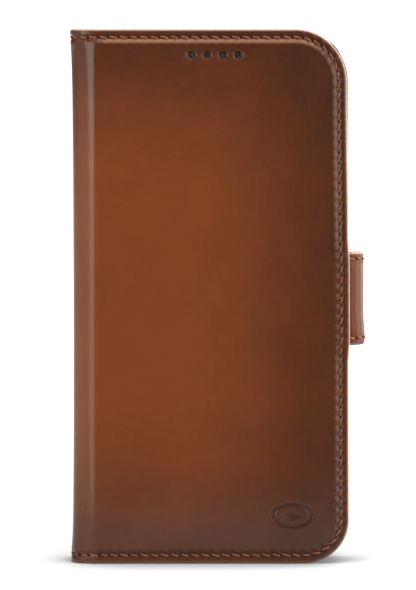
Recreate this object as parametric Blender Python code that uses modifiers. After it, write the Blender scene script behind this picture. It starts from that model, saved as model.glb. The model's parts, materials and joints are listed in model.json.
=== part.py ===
"""Folio phone wallet case in leather, standing closed on its bottom edge.

The front cover faces -Y, the spine is at -X and the closure strap at +X.  Sizes are worked out in a
layout frame whose corner is the spine's outermost line, the front face and the standing edge:
x runs to the right, y runs from front to back and z runs up.  One empty carries that layout, so the
finished case has its origin at the middle of its base.  The layers are stacked from front to back with
a thin air gap between them, and four upright hinges let the spine, the front cover and both halves of
the strap swing.
"""
from math import asin, cos, degrees, radians, sin

import bmesh
import bpy

MM = 0.001

# ---- driving dimensions -------------------------------------------------------------------------
COVER_WIDTH = 86.5 * MM
COVER_HEIGHT = 168.0 * MM
TOP_RADIUS = 15.0 * MM
BOTTOM_RADIUS = 13.5 * MM
SPINE_RADIUS = 7.0 * MM
GAP = 0.3 * MM

PHONE_WIDTH = 78.2 * MM
PHONE_HEIGHT = 161.0 * MM
PHONE_DEPTH = 7.9 * MM
PHONE_LEFT = 5.5 * MM
PHONE_CORNER = 8.7 * MM

# ---- layer thicknesses --------------------------------------------------------------------------
LEATHER = 1.1 * MM
FOAM = 0.8 * MM
BOARD = 0.8 * MM
LINING = 0.6 * MM
POCKET = 0.5 * MM
PAD = 0.4 * MM
CRADLE_FLOOR = 1.1 * MM
CRADLE_WALL = 1.3 * MM
CRADLE_LIP = 0.8 * MM
LIP_REACH = 1.0 * MM
LID_CLEARANCE = 0.4 * MM

# ---- how far each layer stays inside the cover's edge, and the boards short of the hinge lines -------
LINING_INSET = 0.4 * MM
BOARD_INSET = 4.5 * MM
HINGE_GUTTER = 3.5 * MM
POCKET_INSET = 0.7 * MM

# ---- seam ---------------------------------------------------------------------------------------
SEAM_INSET = 2.3 * MM
THREAD_WIDTH = 0.5 * MM
THREAD_DEPTH = 0.4 * MM
GROOVE_WIDTH = THREAD_WIDTH + 2 * GAP
GROOVE_DEPTH = THREAD_DEPTH + GAP

# ---- earpiece holes in the front cover --------------------------------------------------------------
HOLE_COUNT = 4
HOLE_PITCH = 4.85 * MM
HOLE_RADIUS = 1.25 * MM
HOLE_DROP = 8.0 * MM
INNER_HOLE_RADIUS = 1.4 * MM
MESH_SIZE = (19.9 * MM, 5.0 * MM)
MESH_THICKNESS = 0.4 * MM

# ---- pockets: where each opening edge stands, from the spine side ----------------------------------
POCKET_TOP = 148.0 * MM
POCKET_CORNER = 12.0 * MM
CASH_OPENING = 14.0 * MM
CARD_STEP = 10.0 * MM
CARD_POCKETS = 3

# ---- openings for the phone ------------------------------------------------------------------------
CAMERA_SIDE = 38.4 * MM
CAMERA_CORNER = 7.0 * MM
CAMERA_FROM_SIDE = 2.5 * MM
CAMERA_FROM_TOP = 3.2 * MM
PORT_LENGTH = 48.0 * MM
VOLUME_LENGTH = 42.0 * MM
VOLUME_HEIGHT = 121.0 * MM
POWER_LENGTH = 22.0 * MM
POWER_HEIGHT = 123.0 * MM
NOTCH_DEPTH = 8.0 * MM

# ---- closure strap -----------------------------------------------------------------------------------
STRAP_BOTTOM = 68.0 * MM
STRAP_TOP = 98.3 * MM
STRAP_BOTTOM_TAPER = 1.6 * MM
STRAP_TOP_TAPER = 0.7 * MM
STRAP_RADIUS = 4.6 * MM
STRAP_LINING = 0.8 * MM
FLAP_LENGTH = 22.0 * MM
FLAP_TIP_TAPER = 1.6 * MM
FLAP_CORNER = 5.0 * MM
FLAP_LINING = 0.5 * MM
STRAP_LINING_INSET = 0.6 * MM
MAGNET_THICKNESS = 0.8 * MM
MAGNET_SIZE = (12.0 * MM, 14.0 * MM)
KEEPER_SIZE = (12.0 * MM, 16.0 * MM)
MAGNET_FROM_TIP = 8.5 * MM
SEWN_END_LENGTH = 3.6 * MM

# ---- places worked out from the sizes, front to back -------------------------------------------------
FRONT_FOAM_Y = LEATHER + GAP
FRONT_BOARD_Y = FRONT_FOAM_Y + FOAM + GAP
FRONT_LINING_Y = FRONT_BOARD_Y + BOARD + GAP
CASH_Y = FRONT_LINING_Y + LINING + GAP
CARD_Y = CASH_Y + POCKET + GAP
CRADLE_Y = CARD_Y + CARD_POCKETS * (POCKET + GAP) - GAP + LID_CLEARANCE
BAY_Y = CRADLE_Y + CRADLE_LIP
PAD_Y = BAY_Y + PHONE_DEPTH
FLOOR_Y = PAD_Y + PAD + GAP
BACK_LINING_Y = FLOOR_Y + CRADLE_FLOOR + GAP
BACK_BOARD_Y = BACK_LINING_Y + LINING + GAP
BACK_LEATHER_Y = BACK_BOARD_Y + BOARD + GAP
DEPTH = BACK_LEATHER_Y + LEATHER

FLAP_LINING_Y = DEPTH + GAP
MAGNET_Y = FLAP_LINING_Y + FLAP_LINING + GAP
FLAP_LEATHER_Y = MAGNET_Y + MAGNET_THICKNESS + GAP
STRAP_BACK = FLAP_LEATHER_Y + LEATHER
STRAP_FRONT = FRONT_FOAM_Y

HINGE_LEFT = SPINE_RADIUS + GAP / 2
STRAP_SPLIT = COVER_WIDTH + GAP / 2
STRAP_CENTRE_X = COVER_WIDTH + GAP
FULL_WIDTH = STRAP_CENTRE_X + STRAP_RADIUS

PHONE_RIGHT = PHONE_LEFT + PHONE_WIDTH
PHONE_BOTTOM = (COVER_HEIGHT - PHONE_HEIGHT) / 2
PHONE_TOP = PHONE_BOTTOM + PHONE_HEIGHT
PHONE_MIDDLE = PHONE_LEFT + PHONE_WIDTH / 2
HOLES_Z = COVER_HEIGHT - HOLE_DROP
FLAP_TIP = COVER_WIDTH - FLAP_LENGTH
STRAP_MIDDLE = (STRAP_BOTTOM + STRAP_TOP) / 2
MAGNET_X = FLAP_TIP + MAGNET_FROM_TIP
CUT_OVERSHOOT = 2.0 * MM
CORNER_STEPS = 10


# ---- scene, finishes and bodies ---------------------------------------------------------------------
def clear_scene():
    """Remove every object, so the case is the only thing in the file."""
    for item in list(bpy.data.objects):
        bpy.data.objects.remove(item, do_unlink=True)


def new_collection(name):
    """Return a new collection linked to the scene."""
    collection = bpy.data.collections.new(name)
    bpy.context.scene.collection.children.link(collection)
    return collection


def finish(name, colour, roughness, metallic=0.0):
    """Return a Principled material of one colour."""
    material = bpy.data.materials.new(name)
    material.use_nodes = True
    shader = material.node_tree.nodes["Principled BSDF"]
    shader.inputs["Base Color"].default_value = (*colour, 1.0)
    shader.inputs["Roughness"].default_value = roughness
    shader.inputs["Metallic"].default_value = metallic
    return material


def joint_empty(name, x, y, parent):
    """Return an empty on an upright joint axis, given in layout coordinates."""
    empty = bpy.data.objects.new(name, None)
    empty.empty_display_size = 10 * MM
    case_parts.objects.link(empty)
    empty.parent = parent
    base_x, base_y = layout_place(parent)
    empty.location = (x - base_x, y - base_y, 0.0)
    return empty


def layout_place(empty):
    """Return an empty's place in the layout, which is the root empty's own frame."""
    if empty is None or empty is case_root:
        return 0.0, 0.0
    above_x, above_y = layout_place(empty.parent)
    return above_x + empty.location.x, above_y + empty.location.y


# ---- outlines -----------------------------------------------------------------------------------------
def arc(centre, radius, start, end, steps=CORNER_STEPS):
    """Return points along an arc, both ends included; angles are in degrees."""
    turns = [radians(start + (end - start) * step / steps) for step in range(steps + 1)]
    return [(centre[0] + radius * cos(turn), centre[1] + radius * sin(turn)) for turn in turns]


def edge_path(inset, left):
    """Return the cover's free edge moved inwards, from the lower hinge end round to the upper one."""
    low = (COVER_WIDTH - BOTTOM_RADIUS, BOTTOM_RADIUS)
    high = (COVER_WIDTH - TOP_RADIUS, COVER_HEIGHT - TOP_RADIUS)
    path = [(left, inset)]
    path += arc(low, BOTTOM_RADIUS - inset, -90, 0)
    path += arc(high, TOP_RADIUS - inset, 0, 90)
    path.append((left, COVER_HEIGHT - inset))
    return path


def rounded_box(left, right, bottom, top, radius):
    """Return a rectangle whose four corners have one radius."""
    low, high = bottom + radius, top - radius
    near, far = left + radius, right - radius
    path = arc((far, low), radius, -90, 0)
    path += arc((far, high), radius, 0, 90)
    path += arc((near, high), radius, 90, 180)
    path += arc((near, low), radius, 180, 270)
    return path


def spine_path(inset, shortening=GAP / 2):
    """Return the spine's D-shaped section moved inwards, from the front hinge to the back one.

    shortening is how far both ends stop before the hinge lines.
    """
    radius = SPINE_RADIUS - inset
    start = degrees(asin(shortening / radius))
    front = arc((SPINE_RADIUS, SPINE_RADIUS), radius, 270 - start, 180)
    back = arc((SPINE_RADIUS, DEPTH - SPINE_RADIUS), radius, 180, 90 + start)
    return front + back


def strap_path(inset):
    """Return the strap's outward bulge moved inwards, from the front cover to behind the back."""
    radius = STRAP_RADIUS - inset
    front = arc((STRAP_CENTRE_X, STRAP_FRONT + STRAP_RADIUS), radius, -90, 0)
    back = arc((STRAP_CENTRE_X, STRAP_BACK - STRAP_RADIUS), radius, 0, 90)
    return front + back


def strip(path, other):
    """Return the closed outline between two paths that run the same way."""
    return path + other[::-1]


def circle(x, z, radius):
    """Return a round hole's outline."""
    return arc((x, z), radius, 0, 360, 20)[:-1]


def earpiece_holes(radius):
    """Return the row of round holes over the phone's earpiece."""
    first = PHONE_MIDDLE - HOLE_PITCH * (HOLE_COUNT - 1) / 2
    return [circle(first + HOLE_PITCH * number, HOLES_Z, radius) for number in range(HOLE_COUNT)]


def camera_window(margin=0.0):
    """Return the rear camera's opening, widened by a margin."""
    right = PHONE_RIGHT - CAMERA_FROM_SIDE + margin
    top = PHONE_TOP - CAMERA_FROM_TOP + margin
    side = CAMERA_SIDE + 2 * margin
    return rounded_box(right - side, right, top - side, top, CAMERA_CORNER + margin)


def oblong(middle_x, middle_z, size, margin=0.0):
    """Return a plain rectangle about a middle point."""
    half_x = size[0] / 2 + margin
    half_z = size[1] / 2 + margin
    left, right = middle_x - half_x, middle_x + half_x
    low, high = middle_z - half_z, middle_z + half_z
    return [(left, low), (right, low), (right, high), (left, high)]


# ---- solids ---------------------------------------------------------------------------------------------
def outline_mesh(name, outlines, thickness):
    """Return a closed mesh of a flat outline, with any further outlines as holes."""
    curve = bpy.data.curves.new(name, "CURVE")
    curve.dimensions = "2D"
    curve.fill_mode = "BOTH"
    curve.extrude = thickness / 2
    for outline in outlines:
        spline = curve.splines.new("POLY")
        spline.points.add(len(outline) - 1)
        for point, (across, along) in zip(spline.points, outline):
            point.co = (across, along, 0.0, 1.0)
        spline.use_cyclic_u = True
    guide = bpy.data.objects.new(name + "_outline", curve)
    case_parts.objects.link(guide)
    bpy.context.view_layer.update()
    evaluated = guide.evaluated_get(bpy.context.evaluated_depsgraph_get())
    mesh = bpy.data.meshes.new_from_object(evaluated)
    bpy.data.objects.remove(guide, do_unlink=True)
    work = bmesh.new()
    work.from_mesh(mesh)
    bmesh.ops.remove_doubles(work, verts=work.verts, dist=0.001 * MM)
    bmesh.ops.recalc_face_normals(work, faces=work.faces)
    work.to_mesh(mesh)
    work.free()
    return mesh


def add_solid(name, mesh, material, body, location, tilt=0.0):
    """Add a named solid to a body, at a layout location, tipped about X by an angle in degrees."""
    item = bpy.data.objects.new(name, mesh)
    case_parts.objects.link(item)
    item.parent = body
    base_x, base_y = layout_place(body)
    item.location = (location[0] - base_x, location[1] - base_y, location[2])
    item.rotation_euler = (radians(tilt), 0.0, 0.0)
    item.data.materials.append(material)
    item.data.shade_smooth()
    item.data.set_sharp_from_angle(angle=radians(30))
    return item


def upright_plate(name, outlines, front, thickness, material, body):
    """Add a plate that faces the front, from outlines in x and z."""
    mesh = outline_mesh(name, outlines, thickness)
    return add_solid(name, mesh, material, body, (0.0, front + thickness / 2, 0.0), tilt=90)


def level_strip(name, outlines, low, high, material, body):
    """Add a wall that follows a path in x and y, from one height to another."""
    mesh = outline_mesh(name, outlines, high - low)
    return add_solid(name, mesh, material, body, (0.0, 0.0, (low + high) / 2))


def taper_strap(item):
    """Slope a strap wall's upper and lower ends, so that it narrows towards the back."""
    for vertex in item.data.vertices:
        share = (vertex.co.y - STRAP_FRONT) / (STRAP_BACK - STRAP_FRONT)
        vertex.co.z += share * (STRAP_BOTTOM_TAPER if vertex.co.z < 0 else -STRAP_TOP_TAPER)


def cut(item, cutter):
    """Cut a hidden tool from a solid with an exact Boolean."""
    cutter.display_type = "WIRE"
    cutter.hide_render = True
    case_parts.objects.unlink(cutter)
    case_cutters.objects.link(cutter)
    boolean = item.modifiers.new("cut_" + cutter.name, "BOOLEAN")
    boolean.operation = "DIFFERENCE"
    boolean.solver = "EXACT"
    boolean.object = cutter


# ---- sub-assemblies ---------------------------------------------------------------------------------------
def seam_strip(half_width, left):
    """Return the outline of a band that follows the cover's free edge along the seam."""
    return strip(edge_path(SEAM_INSET - half_width, left), edge_path(SEAM_INSET + half_width, left))


def cover_leather(name, thread_name, face, inward, holes, body):
    """Add a cover's outer leather with its sunk seam and the thread that lies in it.

    face is the y of the outer face and inward is +1 where the case lies behind that face.
    """
    front = min(face, face + inward * LEATHER)
    outline = edge_path(0.0, HINGE_LEFT)
    leather_plate = upright_plate(name, [outline] + holes, front, LEATHER, leather, body)
    reach = GROOVE_DEPTH + CUT_OVERSHOOT
    start = face - inward * CUT_OVERSHOOT
    band = seam_strip(GROOVE_WIDTH / 2, HINGE_LEFT - CUT_OVERSHOOT)
    groove = upright_plate(name + "_groove", [band], min(start, start + inward * reach), reach, thread, body)
    cut(leather_plate, groove)
    line = seam_strip(THREAD_WIDTH / 2, HINGE_LEFT)
    line_front = min(face, face + inward * THREAD_DEPTH)
    upright_plate(thread_name, [line], line_front, THREAD_DEPTH, thread, body)


def build_front_cover(body):
    """Add the front cover: leather, padding, board, earpiece mesh, lining and pockets."""
    cover_leather("front_cover_leather", "front_cover_thread", 0.0, 1, earpiece_holes(HOLE_RADIUS), body)
    board_edge = edge_path(BOARD_INSET, HINGE_LEFT + HINGE_GUTTER)
    mesh_window = oblong(PHONE_MIDDLE, HOLES_Z, MESH_SIZE, GAP)
    upright_plate("front_cover_foam", [board_edge, mesh_window], FRONT_FOAM_Y, FOAM, foam, body)
    mesh_plate = [oblong(PHONE_MIDDLE, HOLES_Z, MESH_SIZE)]
    upright_plate("earpiece_mesh", mesh_plate, FRONT_FOAM_Y, MESH_THICKNESS, steel, body)
    inner_holes = earpiece_holes(INNER_HOLE_RADIUS)
    upright_plate("front_cover_board", [board_edge] + inner_holes, FRONT_BOARD_Y, BOARD, board, body)
    lining_edge = edge_path(LINING_INSET, HINGE_LEFT)
    upright_plate("front_lining", [lining_edge] + inner_holes, FRONT_LINING_Y, LINING, lining, body)
    build_pocket("cash_pocket", CASH_OPENING, CASH_Y, body)
    for number in range(CARD_POCKETS):
        opening = CASH_OPENING + CARD_STEP * (number + 1)
        build_pocket(f"card_pocket_{number + 1}", opening, CARD_Y + (POCKET + GAP) * number, body)


def build_pocket(name, opening, front, body):
    """Add one pocket panel, open along its spine-side edge."""
    right = COVER_WIDTH - POCKET_INSET
    corner = (right - POCKET_CORNER, POCKET_INSET + POCKET_CORNER)
    outline = [(opening, POCKET_INSET)]
    outline += arc(corner, POCKET_CORNER, -90, 0)
    outline += [(right, POCKET_TOP), (opening, POCKET_TOP)]
    upright_plate(name, [outline], front, POCKET, pocket_leather, body)


def build_back_cover(body):
    """Add the back cover: leather, board, steel keeper for the strap's magnet, and lining."""
    window = camera_window()
    cover_leather("back_cover_leather", "back_cover_thread", DEPTH, -1, [window], body)
    board_edge = edge_path(BOARD_INSET, HINGE_LEFT + HINGE_GUTTER)
    keeper_window = oblong(MAGNET_X, STRAP_MIDDLE, KEEPER_SIZE, GAP)
    board_outlines = [board_edge, window, keeper_window]
    upright_plate("back_cover_board", board_outlines, BACK_BOARD_Y, BOARD, board, body)
    keeper = [oblong(MAGNET_X, STRAP_MIDDLE, KEEPER_SIZE)]
    upright_plate("strap_keeper_plate", keeper, BACK_BOARD_Y, BOARD, steel, body)
    lining_edge = edge_path(LINING_INSET, HINGE_LEFT)
    upright_plate("back_lining", [lining_edge, window], BACK_LINING_Y, LINING, lining, body)


def build_cradle(body):
    """Add the moulded tray that grips the phone, and the soft pad on its floor."""
    left, right = PHONE_LEFT - CRADLE_WALL, PHONE_RIGHT + CRADLE_WALL
    low, high = PHONE_BOTTOM - CRADLE_WALL, PHONE_TOP + CRADLE_WALL
    shell = rounded_box(left, right, low, high, PHONE_CORNER + CRADLE_WALL)
    depth = FLOOR_Y + CRADLE_FLOOR - CRADLE_Y
    tray = upright_plate("phone_cradle", [shell], CRADLE_Y, depth, moulded, body)
    rounding = tray.modifiers.new("rounded_edges", "BEVEL")
    rounding.width = 0.7 * MM
    rounding.segments = 2
    rounding.limit_method = "ANGLE"
    rounding.angle_limit = radians(40)

    bay = rounded_box(PHONE_LEFT, PHONE_RIGHT, PHONE_BOTTOM, PHONE_TOP, PHONE_CORNER)
    cut(tray, upright_plate("bay_cutter", [bay], BAY_Y, FLOOR_Y - BAY_Y, moulded, body))
    mouth = rounded_box(PHONE_LEFT + LIP_REACH, PHONE_RIGHT - LIP_REACH, PHONE_BOTTOM + LIP_REACH,
                        PHONE_TOP - LIP_REACH, PHONE_CORNER - LIP_REACH)
    mouth_depth = CUT_OVERSHOOT + CRADLE_LIP + GAP
    cut(tray, upright_plate("mouth_cutter", [mouth], CRADLE_Y - CUT_OVERSHOOT, mouth_depth, moulded, body))
    lens_depth = CRADLE_FLOOR + 2 * CUT_OVERSHOOT
    lens_front = FLOOR_Y - CUT_OVERSHOOT
    cut(tray, upright_plate("camera_cutter", [camera_window()], lens_front, lens_depth, moulded, body))

    reach = 2 * (CRADLE_WALL + LIP_REACH + CUT_OVERSHOOT)
    notches = {
        "port_cutter": oblong(PHONE_MIDDLE, PHONE_BOTTOM, (PORT_LENGTH, reach)),
        "volume_cutter": oblong(PHONE_LEFT, VOLUME_HEIGHT, (reach, VOLUME_LENGTH)),
        "power_cutter": oblong(PHONE_RIGHT, POWER_HEIGHT, (reach, POWER_LENGTH)),
    }
    for name, outline in notches.items():
        front = CRADLE_Y - CUT_OVERSHOOT
        cut(tray, upright_plate(name, [outline], front, NOTCH_DEPTH + CUT_OVERSHOOT, moulded, body))

    pad_edge = rounded_box(PHONE_LEFT + GAP, PHONE_RIGHT - GAP, PHONE_BOTTOM + GAP, PHONE_TOP - GAP,
                           PHONE_CORNER - GAP)
    upright_plate("cradle_pad", [pad_edge, camera_window(GAP)], PAD_Y, PAD, suede, body)


def build_spine(body):
    """Add the spine's outer leather and its lining, with the seam's thread crossing both ends."""
    outer = [strip(spine_path(0.0), spine_path(LEATHER))]
    wall = level_strip("spine_leather", outer, 0.0, COVER_HEIGHT, leather, body)
    lining_start = LEATHER + GAP
    inner = [strip(spine_path(lining_start), spine_path(lining_start + LINING))]
    level_strip("spine_lining", inner, LINING_INSET, COVER_HEIGHT - LINING_INSET, lining, body)
    for place, height in (("lower", SEAM_INSET), ("upper", COVER_HEIGHT - SEAM_INSET)):
        line = [strip(spine_path(0.0), spine_path(THREAD_DEPTH))]
        low, high = height - THREAD_WIDTH / 2, height + THREAD_WIDTH / 2
        level_strip(f"spine_thread_{place}", line, low, high, thread, body)
        start, end = spine_path(-CUT_OVERSHOOT, 0.0), spine_path(GROOVE_DEPTH, 0.0)
        front_x = SPINE_RADIUS + CUT_OVERSHOOT
        band = [(front_x, start[0][1])] + start + [(front_x, start[-1][1])]
        back = [(front_x, end[0][1])] + end + [(front_x, end[-1][1])]
        low, high = height - GROOVE_WIDTH / 2, height + GROOVE_WIDTH / 2
        cut(wall, level_strip(f"spine_groove_{place}", [strip(band, back)], low, high, thread, body))


def build_strap(front_body, bridge, flap):
    """Add the closure strap: its sewn-in end, the bulge round the edge and the magnetic flap."""
    sewn_right = COVER_WIDTH - GAP
    sewn_size = (SEWN_END_LENGTH, STRAP_TOP - STRAP_BOTTOM)
    sewn = oblong(sewn_right - SEWN_END_LENGTH / 2, STRAP_MIDDLE, sewn_size)
    upright_plate("strap_sewn_end", [sewn], FRONT_BOARD_Y, BOARD, leather, front_body)

    outer = [strip(strap_path(0.0), strap_path(LEATHER))]
    taper_strap(level_strip("strap_bridge_leather", outer, STRAP_BOTTOM, STRAP_TOP, leather, bridge))
    start = LEATHER + GAP
    inner = [strip(strap_path(start), strap_path(start + STRAP_LINING))]
    low, high = STRAP_BOTTOM + STRAP_LINING_INSET, STRAP_TOP - STRAP_LINING_INSET
    taper_strap(level_strip("strap_bridge_lining", inner, low, high, lining, bridge))

    upright_plate("strap_flap_leather", [flap_outline(0.0)], FLAP_LEATHER_Y, LEATHER, leather, flap)
    magnet = [oblong(MAGNET_X, STRAP_MIDDLE, MAGNET_SIZE)]
    upright_plate("strap_magnet", magnet, MAGNET_Y, MAGNET_THICKNESS, steel, flap)
    backing = [flap_outline(STRAP_LINING_INSET)]
    upright_plate("strap_flap_lining", backing, FLAP_LINING_Y, FLAP_LINING, lining, flap)


def flap_outline(inset):
    """Return the strap flap's outline: straight at the bend, narrowing to a tip with round corners."""
    low = STRAP_BOTTOM + STRAP_BOTTOM_TAPER + inset
    high = STRAP_TOP - STRAP_TOP_TAPER - inset
    tip_low, tip_high = low + FLAP_TIP_TAPER, high - FLAP_TIP_TAPER
    near = FLAP_TIP + inset + FLAP_CORNER
    radius = FLAP_CORNER
    path = [(COVER_WIDTH, low), (COVER_WIDTH, high)]
    path += arc((near, tip_high - radius), radius, 90, 180)
    path += arc((near, tip_low + radius), radius, 180, 270)
    return path


# ---- the case -----------------------------------------------------------------------------------------------
clear_scene()
case_parts = new_collection("phone_wallet_case")
case_cutters = new_collection("cutters")

leather = finish("burnished_leather", (0.205, 0.052, 0.016), 0.42)
pocket_leather = finish("pocket_leather", (0.19, 0.055, 0.02), 0.5)
lining = finish("lining_leather", (0.17, 0.06, 0.026), 0.62)
foam = finish("foam", (0.30, 0.29, 0.27), 0.9)
board = finish("grey_board", (0.32, 0.29, 0.25), 0.85)
moulded = finish("moulded_cradle", (0.03, 0.018, 0.013), 0.5)
suede = finish("microfibre", (0.16, 0.075, 0.04), 0.95)
steel = finish("steel", (0.55, 0.55, 0.56), 0.3, metallic=1.0)
thread = finish("waxed_thread", (0.45, 0.16, 0.05), 0.55)

case_root = bpy.data.objects.new("case_root", None)
case_root.location = (-FULL_WIDTH / 2, -STRAP_BACK / 2, 0.0)
case_parts.objects.link(case_root)
spine_axis = joint_empty("spine_axis", SPINE_RADIUS, DEPTH, case_root)
cover_axis = joint_empty("cover_axis", SPINE_RADIUS, 0.0, spine_axis)
strap_root_axis = joint_empty("strap_root_axis", STRAP_SPLIT, STRAP_FRONT, cover_axis)
strap_tip_axis = joint_empty("strap_tip_axis", STRAP_SPLIT, STRAP_BACK, strap_root_axis)

build_back_cover(case_root)
build_cradle(case_root)
build_spine(spine_axis)
build_front_cover(cover_axis)
build_strap(cover_axis, strap_root_axis, strap_tip_axis)
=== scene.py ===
"""Looks of a leather folio phone wallet case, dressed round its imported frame.

Lengths inside this file are millimetres from the case's lower left front corner:
x runs from the spine to the strap, y from the front cover to the back, z upwards.
Datum.world turns them into the frame's metres.
"""
import json
import logging
from dataclasses import dataclass, field
from enum import Enum
from math import pi, radians
from typing import Optional, Sequence, Union

import bmesh
import bpy
import numpy as np
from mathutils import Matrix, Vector


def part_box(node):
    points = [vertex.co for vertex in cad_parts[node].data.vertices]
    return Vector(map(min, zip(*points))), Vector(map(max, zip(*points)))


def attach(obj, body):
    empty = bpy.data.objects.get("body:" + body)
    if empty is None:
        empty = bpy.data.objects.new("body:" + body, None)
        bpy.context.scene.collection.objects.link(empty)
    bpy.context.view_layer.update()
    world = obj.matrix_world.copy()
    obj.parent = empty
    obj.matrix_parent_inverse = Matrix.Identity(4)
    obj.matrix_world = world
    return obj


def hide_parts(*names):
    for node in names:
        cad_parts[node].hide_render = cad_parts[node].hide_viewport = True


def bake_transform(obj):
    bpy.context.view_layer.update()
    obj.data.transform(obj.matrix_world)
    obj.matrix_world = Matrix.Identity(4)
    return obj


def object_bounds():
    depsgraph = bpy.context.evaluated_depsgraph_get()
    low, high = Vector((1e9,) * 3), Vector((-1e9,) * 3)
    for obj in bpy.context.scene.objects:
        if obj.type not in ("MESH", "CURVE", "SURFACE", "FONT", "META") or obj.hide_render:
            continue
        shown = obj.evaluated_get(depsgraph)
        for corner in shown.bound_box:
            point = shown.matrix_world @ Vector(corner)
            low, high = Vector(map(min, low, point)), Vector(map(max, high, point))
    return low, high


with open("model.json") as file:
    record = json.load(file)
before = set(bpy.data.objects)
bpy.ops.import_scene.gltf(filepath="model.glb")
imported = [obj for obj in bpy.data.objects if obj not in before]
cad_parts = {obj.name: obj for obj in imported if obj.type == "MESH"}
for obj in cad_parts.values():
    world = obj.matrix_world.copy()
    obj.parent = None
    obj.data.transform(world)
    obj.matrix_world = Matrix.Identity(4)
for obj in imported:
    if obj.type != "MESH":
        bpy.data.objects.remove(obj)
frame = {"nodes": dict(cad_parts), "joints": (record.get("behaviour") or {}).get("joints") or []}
CAD_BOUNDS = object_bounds()

LOG = logging.getLogger("wallet_case")
MM = 0.001
LAY = "lay"
FACING = "facing"
Array = np.ndarray

# Measures that several pieces share, in millimetres. The mark's place is from the hinge line.
MARK_MIDDLE = (61.7, 15.4)
MARK_SIZE = (6.6, 3.9)
CAMERA_WINDOW = (42.8, 81.2, 122.9, 161.3)
WINDOW_CORNER = 7.0
EAR_HOLES = 4
EAR_PITCH = 4.85
SEAM_INSET = 2.55
HINGE_REACH = 2.2


# ---- small sums ---------------------------------------------------------------------------------------------
def smooth(low: float, high: float, value: Array) -> Array:
    """Return a soft step from 0 at low to 1 at high."""
    share = np.clip((np.asarray(value, float) - low) / (high - low), 0.0, 1.0)
    return share * share * (3.0 - 2.0 * share)


def bell(value: Array, middle: float, width: float) -> Array:
    """Return a soft hump of height 1 about a middle."""
    return np.exp(-(((np.asarray(value, float) - middle) / width) ** 2))


def rounding(edge: Array, radius: float) -> Array:
    """Return how far an edge rounded to a radius falls away at distances from it."""
    return radius - np.sqrt(np.maximum(radius ** 2 - np.clip(radius - edge, 0.0, radius) ** 2, 0.0))


def arc(centre: tuple[float, float], radius: float, start: float, end: float, step: float = 0.15) -> Array:
    """Return points along an arc, its angles in degrees."""
    count = max(8, int(abs(radians(end - start)) * radius / step))
    turn = np.radians(np.linspace(start, end, count))
    return np.stack([centre[0] + radius * np.cos(turn), centre[1] + radius * np.sin(turn)], 1)


def line(start: tuple[float, float], end: tuple[float, float], step: float = 0.15) -> Array:
    """Return points along a straight line."""
    count = max(3, int(np.hypot(end[0] - start[0], end[1] - start[1]) / step))
    return np.linspace(start, end, count)


def joined(*paths: Array) -> Array:
    """Return several runs of points as one, without the points that they share."""
    points = np.concatenate(paths)
    gaps = np.hypot(*np.diff(points, axis=0).T)
    return points[np.concatenate([[True], gaps > 1e-4])]


def travelled(path: Array) -> Array:
    """Return how far each point of a flat path is along it."""
    return np.concatenate([[0.0], np.cumsum(np.hypot(*np.diff(path, axis=0).T))])


def linear(colour: str) -> tuple[float, float, float, float]:
    """Return an sRGB hex colour as linear red, green, blue and alpha."""
    parts = [int(colour[place:place + 2], 16) / 255 for place in (1, 3, 5)]
    flat = [part / 12.92 if part <= 0.04045 else ((part + 0.055) / 1.055) ** 2.4 for part in parts]
    return (flat[0], flat[1], flat[2], 1.0)


# ---- the case's own measures --------------------------------------------------------------------------------
@dataclass(frozen=True)
class Datum:
    """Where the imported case's faces and joints lie, in millimetres."""

    corner: Array
    width: float
    height: float
    depth: float
    hinge: float
    reach: float
    strap_back: float

    @classmethod
    def of_frame(cls) -> "Datum":
        """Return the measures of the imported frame."""
        low, high = CAD_BOUNDS
        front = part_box("front_cover_leather")[1]
        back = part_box("back_cover_leather")[1]
        pivot = next(joint for joint in frame["joints"] if joint["name"] == "cover_hinge")["pos_m"]
        return cls(
            corner=np.array(low), width=(front.x - low.x) / MM, height=(front.z - low.z) / MM,
            depth=(back.y - low.y) / MM, hinge=(pivot[0] - low.x) / MM, reach=(high.x - low.x) / MM,
            strap_back=(high.y - low.y) / MM,
        )

    def world(self, points: Array) -> Array:
        """Return layout millimetres as the frame's metres."""
        return self.corner + np.asarray(points, float) * MM

    def box(self, node: str) -> tuple[Array, Array]:
        """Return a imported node's lowest and highest corner in layout millimetres."""
        low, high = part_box(node)
        return (np.array(low) - self.corner) / MM, (np.array(high) - self.corner) / MM


DATUM = Datum.of_frame()


# ---- sheets of leather --------------------------------------------------------------------------------------
class Section:
    """A sheet's line in plan, measured along its length, with the way its show side faces."""

    def __init__(self, points: Array, start: float, side: int) -> None:
        """Take the line.

        Args:
            points: the line's points in x and y.
            start: the length that its first point stands for.
            side: 1 if the show side is on the line's right, -1 if on its left.
        """
        self.along = start + travelled(points)
        self.points = points
        tangent = np.gradient(points, self.along, axis=0)
        tangent /= np.linalg.norm(tangent, axis=1)[:, None]
        self.normals = side * np.stack([tangent[:, 1], -tangent[:, 0]], 1)

    def spot(self, along: Array, axis: int) -> Array:
        """Return the line's x (axis 0) or y (axis 1) at these lengths."""
        return np.interp(along, self.along, self.points[:, axis])

    def facing(self, along: Array) -> Array:
        """Return the directions that the show side faces at these lengths."""
        flat = [np.interp(along, self.along, self.normals[:, axis]) for axis in (0, 1)]
        return np.stack([flat[0], flat[1], np.zeros(len(along))], 1)

    def place(self, along: Array, lift: Array, height: Array) -> Array:
        """Return the points at these lengths and heights, lifted off the line towards the show side."""
        ways = self.facing(along)
        flat = [self.spot(along, axis) + ways[:, axis] * lift for axis in (0, 1)]
        return np.stack([flat[0], flat[1], height], 1)

    def flipped(self, depth: float) -> "Section":
        """Return the same line on the case's other cover."""
        twin = Section.__new__(Section)
        twin.along = self.along
        twin.points = np.stack([self.points[:, 0], depth - self.points[:, 1]], 1)
        twin.normals = self.normals * np.array([1.0, -1.0])
        return twin


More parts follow.
